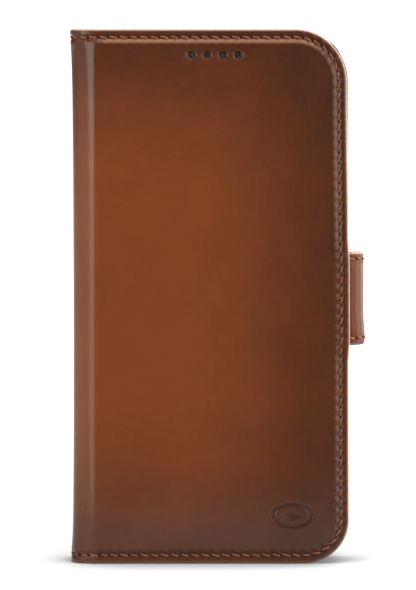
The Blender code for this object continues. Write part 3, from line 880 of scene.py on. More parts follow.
@dataclass(frozen=True)
class BurnishedCowhide:
    """Full-grain aniline cowhide, burnished and waxed: warm in the middle, smoked dark towards both ends, and
    darker towards its free edge, partly burnish and partly painted shade; a painted highlight runs along the
    padded ridge inside the seam.
    """

    name: str = "burnished_cowhide"
    warm: str = "#8d461e"
    # The dark tint: burnish at both ends, and partly painted shade towards the free edge.
    smoke_and_shade: str = "#43210f"
    # A pale tan for the rubbed free edge, the lighter spine and the painted highlight along the ridge.
    scuff_and_highlight: str = "#b8794f"
    roughness: float = 0.52
    height: float = 168.0
    fades: bool = True
    even_smoke: float = 0.32
    mark_smoke: float = 0.3
    mark: Optional[tuple[float, float, float, float]] = None

    def make(self) -> bpy.types.Material:
        """Return the material."""
        recipe = Recipe(self.name, Grid.SHEET)
        along, up, edge = add_node(recipe.tree, "ShaderNodeSeparateXYZ", (recipe.place,)).outputs
        # Creases of full grain are about 0.8 mm apart, drawn at 1.6 mm so that they show.
        cloud, mottle, creases, swell = recipe.patterns(
            (19.0, 3.0, 0.55), (3.1, 4.0, 0.62), (1.6, 5.0, 0.68), (11.0, 2.0, 0.5))
        drawn_out = recipe.add("VectorMath", (recipe.place, (0.9, 0.16, 0.5)), **TIMES)
        fibre = recipe.add("TexNoise", {"Vector": drawn_out, "Scale": 1.0, "Detail": 3.0, "Roughness": 0.6})
        # The smoke is burnish at both ends; towards the free edge it is partly burnish and partly painted shade.
        smoke = self._faded(recipe, along, up) if self.fades else self.even_smoke
        if self.mark:
            smoke = recipe.add("Math", (self._pressed(recipe, along, up), self.mark_smoke, smoke), **TIMES_PLUS)
        for pattern, weight in ((cloud, 0.42), (mottle, 0.20), (fibre, 0.16)):
            smoke = recipe.add("Math", (recipe.add("Math", (pattern, 0.5), **LESS), weight, smoke), **TIMES_PLUS)
        by_spine, rubbed, inner, outer, past_spine, upper, top = (
            recipe.add("MapRange", numbers, **SOFT_STEP) for numbers in (
                (along, 1.0, -1.5, 0.0, 0.22), (edge, 1.0, 0.25, 0.0, 0.55), (edge, 4.8, 4.0, 0.0, 1.0),
                (edge, 3.0, 3.4, 0.0, 1.0), (along, 0.0, 4.0, 0.0, 1.0), (up, 20.0, 160.0, 0.02, 0.15),
                (up, 160.5, 164.5, 0.0, 0.38))
        )
        # Lighter towards the spine, less where it is smoked.
        spine_lightening = recipe.add("Math", (by_spine, recipe.add("Math", (1.0, smoke), **LESS)), **TIMES)
        # The ridge band inside the seam, made stronger towards the top, is a painted highlight from the overhead
        # light.
        ridge = recipe.add("Math", (recipe.add("Math", (inner, outer), **TIMES), past_spine), **TIMES)
        ridge_highlight = recipe.add("Math", (ridge, recipe.add("Math", (upper, top), operation="ADD")), **TIMES)
        colour = recipe.tinted(
            self.warm, (smoke, self.smoke_and_shade), (spine_lightening, self.scuff_and_highlight), (rubbed, self.scuff_and_highlight), (ridge_highlight, self.scuff_and_highlight))
        # Pores of full grain are about 0.3 mm apart, drawn at 0.75 mm so that they show.
        pores = recipe.add("TexVoronoi", {"Vector": recipe.place, "Scale": 1.0 / 0.75})
        normal = recipe.embossed((pores, 0.018), (creases, 0.05), (swell, 0.22))
        roughness = recipe.add(
            "MapRange", (mottle, 0.2, 0.8, self.roughness - 0.06, self.roughness + 0.09), **SOFT_STEP)
        recipe.set(Specular_IOR_Level=0.12, Coat_Weight=0.5, Coat_Roughness=0.18)
        return recipe.done(colour, roughness, normal)

    def _faded(self, recipe: Recipe, along: object, up: object) -> bpy.types.NodeSocket:
        """Return how dark the smoke is: most at both ends, burnished, and towards the free edge, where it is
        partly burnish and partly painted shade.
        """
        from_middle = recipe.add(
            "Math", (recipe.add("Math", (up, self.height / 2), **LESS),), operation="ABSOLUTE")
        # The second ramp darkens towards the free edge: partly burnish, partly painted shade.
        clear = [
            recipe.add("Math", (1.0, recipe.add("MapRange", numbers, **SOFT_STEP)), **LESS)
            for numbers in ((from_middle, 30.0, 92.0, 0.0, 0.86), (along, 24.0, 84.0, 0.0, 0.84))
        ]
        return recipe.add("Math", (1.0, recipe.add("Math", clear, **TIMES)), **LESS)

    def _pressed(self, recipe: Recipe, along: object, up: object) -> bpy.types.NodeSocket:
        """Return where the pressed mark is: a flat oval ring round a lozenge."""
        shares = []
        for place, middle, size in zip((along, up), self.mark[:2], self.mark[2:]):
            share = recipe.add("Math", (recipe.add("Math", (place, middle), **LESS), size), operation="DIVIDE")
            shares.append(recipe.add("Math", (share,), operation="ABSOLUTE"))
        squares = [recipe.add("Math", (share, 2.0), operation="POWER") for share in shares]
        reach = recipe.add("Math", (recipe.add("Math", squares, operation="ADD"),), operation="SQRT")
        aslant = recipe.add("Math", shares, operation="ADD")
        inner, outer, lozenge = (
            recipe.add("MapRange", (*numbers, 0.0, 1.0), **SOFT_STEP)
            for numbers in ((reach, 0.74, 0.82), (reach, 1.06, 0.98), (aslant, 0.44, 0.36))
        )
        return recipe.add("Math", (recipe.add("Math", (inner, outer), **TIMES), lozenge), operation="ADD")


@dataclass(frozen=True)
class CutEdge:
    """The raw cut edge of vegetable-dyed hide: pale, fibrous and matte, with painted shade where it faces down."""

    name: str = "raw_cut_edge"
    pale: str = "#fad3c1"
    dark: str = "#d69c7e"
    # Painted shade for the edges that face down.
    downward_shade: str = "#5a3526"
    roughness: float = 0.82

    def make(self) -> bpy.types.Material:
        """Return the material."""
        recipe = Recipe(self.name, Grid.SPACE)
        fibres, = recipe.patterns((0.35, 4.0, 0.7))
        # Edges that face down are darkened: painted shade.
        upward = recipe.add("SeparateXYZ", (recipe.add("NewGeometry", (), "Normal"),), 2)
        depth, facing_down_shade = (
            recipe.add("MapRange", numbers, **SOFT_STEP)
            for numbers in ((fibres, 0.3, 0.75, 0.0, 1.0), (upward, 0.0, -0.5, 0.0, 0.85))
        )
        recipe.set(IOR=1.45, Sheen_Weight=0.2, Sheen_Roughness=0.5)
        colour = recipe.tinted(self.pale, (depth, self.dark), (facing_down_shade, self.downward_shade))
        return recipe.done(colour, self.roughness, recipe.embossed((fibres, 0.06)))


@dataclass(frozen=True)
class LiningHide:
    """Thin split hide with a plain dyed finish: even in colour, finely grained, matte to satin."""

    name: str
    tint: str
    shade: str
    roughness: float = 0.52

    def make(self) -> bpy.types.Material:
        """Return the material."""
        recipe = Recipe(self.name, Grid.SHEET)
        cloud, fine = recipe.patterns((14.0, 3.0, 0.6), (0.7, 4.0, 0.65))
        grain = recipe.add("TexVoronoi", {"Vector": recipe.place, "Scale": 1.0 / 0.55})
        clouded, grained, roughness = (
            recipe.add("MapRange", numbers, **SOFT_STEP) for numbers in (
                (cloud, 0.25, 0.75, 0.0, 1.0), (grain, 0.0, 0.5, 0.22, 0.0),
                (fine, 0.2, 0.8, self.roughness - 0.06, self.roughness + 0.1))
        )
        colour = recipe.tinted(self.tint, (clouded, self.shade), (grained, self.shade))
        recipe.set(IOR=1.47)
        return recipe.done(colour, roughness, recipe.embossed((grain, 0.04), (fine, 0.05)))


@dataclass(frozen=True)
class WaxedThread:
    """Waxed polyester thread, twisted: it shines a little along its length."""

    name: str = "waxed_thread"
    tint: str = "#b0683c"
    shade: str = "#7c4424"
    roughness: float = 0.5

    def make(self) -> bpy.types.Material:
        """Return the material."""
        recipe = Recipe(self.name, Grid.SPACE)
        strands, = recipe.patterns((0.22, 2.0, 0.5))
        twist = recipe.add("MapRange", (strands, 0.35, 0.65, 0.0, 1.0), **SOFT_STEP)
        recipe.set(IOR=1.5, Sheen_Weight=0.15, Sheen_Roughness=0.4)
        colour = recipe.tinted(self.tint, (twist, self.shade))
        return recipe.done(colour, self.roughness, recipe.embossed((strands, 0.05)))


@dataclass(frozen=True)
class PlainFinish:
    """A finish that is even but for a fine speckle: card, foam, moulded plastic, plated metal or paint."""

    name: str
    tint: str
    shade: str
    speck: float
    roughness: float
    relief: float
    metallic: float = 0.0
    sheen: float = 0.0

    def make(self) -> bpy.types.Material:
        """Return the material."""
        recipe = Recipe(self.name, Grid.SPACE)
        specks, patches = recipe.patterns((self.speck, 4.0, 0.65), (self.speck * 14.0, 2.0, 0.5))
        speckled, patchy, roughness = (
            recipe.add("MapRange", numbers, **SOFT_STEP) for numbers in (
                (specks, 0.3, 0.7, 0.0, 1.0), (patches, 0.3, 0.7, 0.0, 0.35),
                (specks, 0.2, 0.8, self.roughness - 0.05, self.roughness + 0.06))
        )
        recipe.set(Metallic=self.metallic)
        if self.sheen:
            recipe.set(Sheen_Weight=self.sheen, Sheen_Roughness=0.45)
        colour = recipe.tinted(self.tint, (speckled, self.shade), (patchy, self.shade))
        return recipe.done(colour, roughness, recipe.embossed((specks, self.relief)))


class Finishes:
    """Every finish of the case, made once."""

    def __init__(self) -> None:
        """Make the materials."""
        self.hide = BurnishedCowhide().make()
        self.marked_hide = BurnishedCowhide(name="marked_cowhide", mark=(*MARK_MIDDLE, *MARK_SIZE)).make()
        self.strap_hide = BurnishedCowhide(name="strap_cowhide", warm="#8f4d2a", fades=False).make()
        self.cut_edge = CutEdge().make()
        self.lining = LiningHide("lining_hide", "#84502f", "#754528", 0.56).make()
        self.pocket = LiningHide("pocket_hide", "#874c29", "#774022", 0.48).make()
        self.thread = WaxedThread().make()
        self.bright_thread = WaxedThread("waxed_thread_light", "#cf8653", "#a2603a").make()
        self.hole = PlainFinish("needle_hole_shadow", "#120a07", "#090504", 0.4, 0.9, 0.0).make()
        # A near-black cloth behind the earpiece wire, standing in for the shade inside the holes.
        self.shade_cloth = PlainFinish("black_shade_cloth", "#1c1b1a", "#0f0f0e", 0.25, 0.95, 0.02).make()
        self.wire = PlainFinish("blackened_steel_wire", "#c4c2bf", "#7e7c7a", 0.3, 0.4, 0.004, metallic=1.0).make()
        self.card = PlainFinish("pressed_grey_board", "#9a938a", "#7c766e", 0.5, 0.88, 0.03).make()
        self.foam = PlainFinish("closed_cell_foam", "#989692", "#7d7b77", 0.45, 0.92, 0.06).make()
        self.moulded = PlainFinish("moulded_polyurethane", "#35271f", "#2a1e18", 0.35, 0.52, 0.02).make()
        self.microfibre = PlainFinish(
            "brushed_microfibre", "#6f4c38", "#523627", 0.4, 0.96, 0.07, sheen=0.6).make()
        self.zinc = PlainFinish(
            "zinc_plated_steel", "#a2a4a6", "#86888b", 1.2, 0.38, 0.006, metallic=1.0).make()
        self.nickel = PlainFinish(
            "nickel_plated_magnet", "#b8b2a8", "#9d978d", 1.5, 0.24, 0.003, metallic=1.0).make()


# ---- the outer leather --------------------------------------------------------------------------------------
MID_DEPTH = DATUM.depth / 2
STITCHES = Stitching()


def cover_section(face: float, inset: float, far: float) -> Section:
    """Return the line from the middle of the spine to past the front cover's free edge.

    Args:
        face: the depth of the line over the cover.
        inset: how far the line lies inside the spine's outer face.
        far: where the line ends.

    Returns:
        The line, measured from the hinge.
    """
    radius = DATUM.hinge
    gutter = 3.5
    spine = line((inset, MID_DEPTH), (inset, radius))
    bend = arc((radius, radius), radius - inset, 180.0, 270.0)
    ramp_x = np.linspace(radius, radius + gutter, 24)
    ramp = np.stack([ramp_x, inset + (face - inset) * smooth(radius, radius + gutter, ramp_x)], 1)
    flat = line((radius + gutter, face), (far, face))
    start = -(MID_DEPTH - radius + (radius - inset) * pi / 2)
    return Section(joined(spine, bend, ramp, flat), start, 1 if inset == 0.0 else -1)


def flare(up: Array) -> Array:
    """Return how far the spine's ends splay outwards."""
    share = np.abs(up - DATUM.height / 2) / (DATUM.height / 2)
    return 0.45 * share ** 2 + 0.9 * np.exp(-(1.0 - share) * DATUM.height / 2 / 5.0)


@dataclass
class CoverLeather:
    """Half of the case's outer leather: a cover and the spine as far as its middle."""

    name: str
    body: str
    front: bool
    finishes: Finishes
    thickness: float = 1.1
    spine_dip: float = 0.28
    cover_dip: float = 0.62
    crown: float = 0.26
    channel: float = 0.24
    pucker: float = 0.19
    margin_ridge: float = 0.11
    edge_fall: float = 0.30
    edge_round: float = 0.42
    strap_roll: float = 0.24
    strap_push: float = 0.45
    ear_rim: float = 0.28
    window_press: float = 0.4
    hole_radius: float = 1.25
    holes_up: float = 160.0
    mark_depth: float = 0.26

    def __post_init__(self) -> None:
        """Lay out the blank and its line in plan."""
        low, high = DATUM.box("earpiece_mesh")
        self.holes_middle = (low[0] + high[0]) / 2 - DATUM.hinge
        section = cover_section(0.0, 0.0, DATUM.width + 4.0)
        self.section = section if self.front else section.flipped(DATUM.depth)
        if self.front:
            columns = [(-3.0, 1.2, 0.3), (25.5, 45.5, 0.45), (54.0, 66.0, 0.4)]
            rows = [(10.0, 20.5, 0.4), (157.0, 163.0, 0.45)]
        else:
            columns = [(-3.0, 1.2, 0.3), (33.8, 36.8, 0.4)]
            rows = [(120.8, 124.2, 0.4), (159.5, 162.0, 0.5)]
        self.blank = Blank(
            start=section.along[0], end=DATUM.width - DATUM.hinge, low=0.0, high=DATUM.height,
            low_radius=14.0, high_radius=16.2, pitch=1.28, bend_pitch=0.5 if self.front else 1.1,
            fine_columns=columns, fine_rows=rows,
        )
        seam = self.blank.border(SEAM_INSET)[0]
        length = np.hypot(*np.diff(seam, axis=0).T).sum()
        self.pitch = length / round(length / STITCHES.pitch)

    def lift(self, along: Array, up: Array, edge: Array, run: Array, fine: bool = True) -> Array:
        """Return how far the leather stands off its plain line.

        Args:
            along: lengths from the hinge line.
            up: heights.
            edge: distances from the free edges.
            run: distances along the seam.
            fine: whether the seam's and the surface's small shapes are wanted.

        Returns:
            The lift at each place.
        """
        padded = smooth(-1.0, 1.5, along)
        pushed = self._over_strap(up) * smooth(70.0, 73.0, along) if self.front else 0.0
        dip = (self.spine_dip + (self.cover_dip - self.spine_dip) * padded) * (1.0 - 0.7 * pushed)
        lift = -dip * (1.0 - smooth(2.95, 4.35, edge))
        lift = lift + flare(up) * smooth(-1.0, -7.5, along)
        lift = lift + self.crown * padded * smooth(3.5, 15.0, edge) * smooth(0.5, 9.0, along)
        lift = lift + self._fold(along)
        if not fine:
            return lift
        wave = np.cos(2 * pi * run / self.pitch)
        lag = np.cos(2 * pi * (run - 1.3 * (SEAM_INSET - edge)) / self.pitch)
        near = edge < 5.5
        lift = lift - self.channel * bell(edge, SEAM_INSET, 0.46)
        lift = lift - near * (0.35 + 0.65 * padded) * self.pucker * wave * bell(edge, 3.6, 0.62)
        lift = lift - near * self.margin_ridge * lag * bell(edge, 1.35, 0.6)
        lift = lift - self.edge_fall * np.clip(1.0 - edge / 1.5, 0.0, 1.0) ** 2
        lift = lift - self.strap_roll * pushed * np.clip(1.0 - edge / 2.9, 0.0, 1.0) ** 2
        lift = lift - rounding(edge, self.edge_round)
        inner = smooth(5.0, 9.0, edge)
        lift = lift + inner * 0.05 * np.sin(along * 0.11 + 1.3) * np.sin(up * 0.071 + 0.4)
        lift = lift + inner * 0.03 * np.sin(along * 0.23 + up * 0.052 + 0.7)
        return lift + (self._front_detail(along, up) if self.front else self._window_rim(along, up))

    @staticmethod
    def _over_strap(up: Array) -> Array:
        """Return where the cover's edge lies over the strap's sewn end."""
        return smooth(63.0, 71.0, up) * (1.0 - smooth(95.0, 103.0, up))

    @staticmethod
    def _fold(along: Array) -> Array:
        """Return the spine's fall away from the cover's padded edge, with its slight roll at the bend."""
        before = np.clip(-along, 0.0, None)
        fall = 0.30 * (1.0 - np.exp(-before / 1.5)) * (1.0 - smooth(4.0, 9.0, before))
        return -fall - 0.05 * bell(along, 0.5, 0.35)

    def _front_detail(self, along: Array, up: Array) -> Array:
        """Return the pressed mark and the turned-in rims of the earpiece holes."""
        across, rise = (along - MARK_MIDDLE[0]) / MARK_SIZE[0], (up - MARK_MIDDLE[1]) / MARK_SIZE[1]
        reach = np.hypot(across, rise)
        ring = smooth(0.74, 0.82, reach) - smooth(0.98, 1.06, reach)
        lozenge = 1.0 - smooth(0.36, 0.46, np.abs(across) + np.abs(rise))
        lift = -self.mark_depth * (ring + lozenge)
        for number in range(EAR_HOLES):
            middle = self.holes_middle + (number - (EAR_HOLES - 1) / 2) * EAR_PITCH
            away = np.hypot(along - middle, up - self.holes_up) - self.hole_radius
            lift = lift - self.ear_rim * np.exp(-np.clip(away, 0.0, None) / 0.55)
        return lift

    def _window_rim(self, along: Array, up: Array) -> Array:
        """Return the rim of the camera window, pressed down all round."""
        left, right, low, high = CAMERA_WINDOW
        across = np.abs(along + DATUM.hinge - (left + right) / 2) - (right - left) / 2 + WINDOW_CORNER
        rise = np.abs(up - (low + high) / 2) - (high - low) / 2 + WINDOW_CORNER
        outside = np.hypot(np.clip(across, 0.0, None), np.clip(rise, 0.0, None)) - WINDOW_CORNER
        return -self.window_press * (1.0 - smooth(-0.3, 1.5, outside))

    def shift(self, along: Array, up: Array) -> Array:
        """Return how far the free edge strays: it leans a little and is pushed out where the strap passes."""
        lean = ((0.5 - up / DATUM.height) * 0.8 - 0.35 * smooth(100.0, 150.0, up)) * smooth(45.0, 79.0, along)
        if not self.front:
            return 0.0 * along
        return lean + self.strap_push * self._over_strap(up) * smooth(72.0, 79.0, along)

    def place(self, along: Array, up: Array, edge: Array, run: Array, fine: bool, sunk: float) -> Array:
        """Return points of the leather, sunk so far below its shown face."""
        lift = self.lift(along, up, edge, run, fine) - sunk
        return self.section.place(along + self.shift(along, up), lift, up)

    def build(self) -> bpy.types.Object:
        """Return the leather, with its openings cut."""
        net = self.blank
        shown = self.place(net.along, net.up, net.edge, net.run, True, 0.0)
        hidden = self.place(net.along, net.up, net.edge, net.run, False, self.thickness)
        # The wave shifts the lay's edge so that the painted highlight along the ridge zigzags with the stitches.
        wave = np.cos(2 * pi * net.run / self.pitch) * bell(net.edge, 3.8, 0.9) * (net.edge < 5.5)
        lay = np.stack([net.along, net.up, net.edge + 0.26 * wave], 1)
        hide = self.finishes.marked_hide if self.front else self.finishes.hide
        piece = leather_shell(self.name, net, shown, hidden, lay, [hide, self.finishes.cut_edge])
        if self.front:
            middle = self.holes_middle + DATUM.hinge
            cutters = earpiece_cutters(middle, self.holes_up, self.hole_radius, 36, -3.0, 4.0)
        else:
            cutters = [prism(rounded_outline(*CAMERA_WINDOW, WINDOW_CORNER), 17.5, 25.0)]
        cut_away(piece, cutters, 0 if self.front else 1)
        join_at_hinge(piece)
        return piece

    def seam(self) -> bpy.types.Object:
        """Return the row of stitches round the leather's free edges."""
        path = self.blank.border(SEAM_INSET)[0]
        run = travelled(path)
        edge = np.full(len(path), SEAM_INSET)
        points = self.place(path[:, 0], path[:, 1], edge, run, True, -0.10)
        ways = self.section.facing(path[:, 0])
        row = STITCHES.row(f"{self.name}_stitches", points, ways, self.finishes.thread, self.finishes.hole)
        join_at_hinge(row)
        return row


def rounded_outline(left: float, right: float, low: float, high: float, radius: float) -> Array:
    """Return a box with round corners, anticlockwise."""
    corners = (
        ((right - radius, low + radius), -90.0), ((right - radius, high - radius), 0.0),
        ((left + radius, high - radius), 90.0), ((left + radius, low + radius), 180.0),
    )
    return np.concatenate([arc(centre, radius, start, start + 90.0, 0.9) for centre, start in corners])


def join_at_hinge(piece: bpy.types.Object) -> None:
    """Bake a piece's place into its mesh; the reach either side of the hinge line is worked out but not used."""
    spine_side, cover_side = DATUM.hinge - HINGE_REACH, DATUM.hinge + HINGE_REACH
    tuple(DATUM.world((spine_side, 0.0, 0.0)))
    tuple(DATUM.world((cover_side, 0.0, 0.0)))
    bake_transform(piece)


# ---- the lining and its pockets -----------------------------------------------------------------------------
@dataclass
class CoverLining:
    """Half of the case's lining: the inside of a cover and of the spine as far as its middle."""

    name: str
    body: str
    front: bool
    finishes: Finishes
    thickness: float = 0.58
    inset: float = 0.4
    spine_inset: float = 2.0
    ear_radius: float = 1.4

    def __post_init__(self) -> None:
        """Lay out the blank and its line in plan."""
        low, high = DATUM.box("front_lining" if self.front else "back_lining")
        face = high[1] if self.front else DATUM.depth - low[1]
        self.press = 1.85 if self.front else 1.0
        section = cover_section(face, self.spine_inset, DATUM.width + 2.0)
        past_hinge = section.along > 0.0
        end = np.interp(high[0], section.points[past_hinge, 0], section.along[past_hinge])
        self.section = section if self.front else section.flipped(DATUM.depth)
        self.blank = Blank(
            start=section.along[0], end=float(end), low=self.inset, high=DATUM.height - self.inset,
            low_radius=13.6, high_radius=15.8, pitch=1.8,
            rings=(5.0, 4.4, 3.9, 3.4, 2.9, 2.5, 1.9, 1.3, 0.7, 0.25, 0.0),
        )

    def lift(self, along: Array, up: Array, edge: Array) -> Array:
        """Return how far the lining stands off its plain line, pressed down to the seam at its edges."""
        over_cover = smooth(0.0, 4.0, along)
        lift = -self.press * over_cover * (1.0 - smooth(2.5, 4.3, edge + self.inset))
        lift = lift - 0.12 * bell(edge + self.inset, SEAM_INSET, 0.5)
        lift = lift - 0.12 * np.clip(1.0 - edge / 0.5, 0.0, 1.0) ** 2
        lift = lift + 0.05 * smooth(5.0, 9.0, edge) * np.sin(along * 0.13 + 0.5) * np.sin(up * 0.06 + 1.0)
        if self.front:
            strap = smooth(64.0, 69.0, up) * (1.0 - smooth(98.0, 103.0, up))
            lift = lift + 1.1 * strap * (1.0 - smooth(3.6, 6.0, edge)) * over_cover
        return lift

    def build(self) -> bpy.types.Object:
        """Return the lining, with its openings cut."""
        net = self.blank
        lift = self.lift(net.along, net.up, net.edge)
        shown = self.section.place(net.along, lift, net.up)
        hidden = self.section.place(net.along, lift - self.thickness, net.up)
        lay = np.stack([net.along, net.up, net.edge], 1)
        finishes = [self.finishes.lining, self.finishes.cut_edge]
        piece = leather_shell(self.name, net, shown, hidden, lay, finishes, raw_edge=0.0)
        if self.front:
            low, high = DATUM.box("earpiece_mesh")
            middle, up = (low[0] + high[0]) / 2, (low[2] + high[2]) / 2
            cutters = earpiece_cutters(middle, up, self.ear_radius, 28, 1.0, 7.0)
        else:
            cutters = [prism(rounded_outline(*CAMERA_WINDOW, WINDOW_CORNER), 16.5, 21.5)]
        cut_away(piece, cutters, 1)
        join_at_hinge(piece)
        return piece


@dataclass
class PocketStack:
    """The cash pocket and three card pockets, sewn to the front lining and open towards the spine."""

    finishes: Finishes
    names: Sequence[str] = ("cash_pocket", "card_pocket_1", "card_pocket_2", "card_pocket_3")
    seam_faces: Sequence[float] = (2.8, 3.25, 3.7, 4.15)
    top_faces: Sequence[float] = (4.7, 5.2, 5.7, 6.2)
    lining_face: float = 4.4
    low_corner: float = 12.0
    high_corner: float = 3.2
    overlap: float = 0.7
    thickness: float = 0.46

    def _blank(self, node: str) -> tuple[Blank, float, float]:
        """Return a pocket's blank, its shown face's depth and its top's height."""
        low, high = DATUM.box(node)
        blank = Blank(
            start=low[0], end=high[0], low=low[2], high=high[2], low_radius=self.low_corner,
            high_radius=self.high_corner,
            margin=3.0, pitch=1.8, rings=(2.6, 2.2, 1.9, 1.6, 1.3, 1.0, 0.6, 0.25, 0.0),
            fine_columns=[(low[0], low[0] + 2.6, 0.3)],
        )
        return blank, high[1], high[2]

    def build(self) -> list[bpy.types.Object]:
        """Return the pockets."""
        made = []
        for number, node in enumerate(self.names):
            net, face, top = self._blank(node)
            section = Section(line((net.start - 1.0, face), (net.end + 1.0, face)), net.start - 1.0, -1)
            side = np.minimum(net.end - net.along, net.up - net.low)
            radius = self.low_corner
            corner = np.hypot(np.clip(net.along - net.end + radius, 0.0, None),
                              np.clip(net.low + radius - net.up, 0.0, None))
            in_corner = (net.along > net.end - radius) & (net.up < net.low + radius)
            side = np.where(in_corner, radius - corner, side) + self.overlap
            pressed = 1.0 - smooth(2.6, 5.4, side)
            capped = 1.0 - smooth(1.2, 4.2, top - net.up)
            drop = np.maximum((face - self.seam_faces[number]) * pressed, (face - self.top_faces[number]) * capped)
            past = net.along - net.start
            lift = -drop - 0.10 * bell(past, 1.5, 0.28) - 0.12 * np.clip(1.0 - past / 0.5, 0.0, 1.0) ** 2
            lift = lift - 0.10 * bell(top - net.up, 2.0, 0.5) - 0.08 * bell(side, SEAM_INSET, 0.5)
            middle = smooth(6.0, 30.0, side) * smooth(4.0, 30.0, top - net.up)
            lift = lift - 0.10 * middle * smooth(0.0, 20.0, past)
            shown = section.place(net.along, lift, net.up)
            hidden = section.place(net.along, lift - self.thickness, net.up)
            lay = np.stack([net.along + 31.0 * number, net.up, net.edge], 1)
            finishes = [self.finishes.pocket, self.finishes.cut_edge]
            piece = leather_shell(f"{node}_panel", net, shown, hidden, lay, finishes, raw_edge=0.0)
            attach(piece, "front_cover")
            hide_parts(node)
            made.append(piece)
        made.append(self._top_row())
        return made

    def _top_row(self) -> bpy.types.Object:
        """Return the stitches along the pockets' shared top edge."""
        lows = [DATUM.box(node)[0][0] for node in self.names]
        low, high = DATUM.box(self.names[-1])
        along = np.arange(lows[0] + 1.0, high[0] - 4.0, 0.25)
        faces = [self.lining_face, *self.top_faces]
        steps = np.repeat(lows, 2) + np.tile([-0.4, 0.4], len(lows))
        depth = np.interp(along, steps, np.repeat(faces, 2)[1:-1])
        points = np.stack([along, depth + 0.05, np.full(len(along), high[2] - 2.0)], 1)
        ways = np.tile([0.0, 1.0, 0.0], (len(along), 1))
        row = STITCHES.row("pocket_top_stitches", points, ways, self.finishes.thread, self.finishes.hole)
        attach(row, "front_cover")
        return row


def inner_seam(lining: CoverLining, pockets: Optional[PocketStack], finishes: Finishes) -> bpy.types.Object:
    """Return the seam as it shows on the lining's side, over the pockets where they cross it."""
    net = lining.blank
    inset = SEAM_INSET - lining.inset
    path = net.border(inset)[0]
    edge = np.full(len(path), inset)
    points = lining.section.place(path[:, 0], lining.lift(path[:, 0], path[:, 1], edge) + 0.10, path[:, 1])
    if pockets:
        top = DATUM.box("cash_pocket")[1][2]
        for node, face in zip(pockets.names, pockets.seam_faces):
            opening = DATUM.box(node)[0][0]
            covered = (points[:, 0] > opening) & (points[:, 2] < top)
            points[:, 1] = np.where(covered, np.maximum(points[:, 1], face + 0.08), points[:, 1])
    ways = lining.section.facing(path[:, 0])
    row = STITCHES.row(f"{lining.name}_stitches", points, ways, finishes.thread, finishes.hole)
    join_at_hinge(row)
    return row


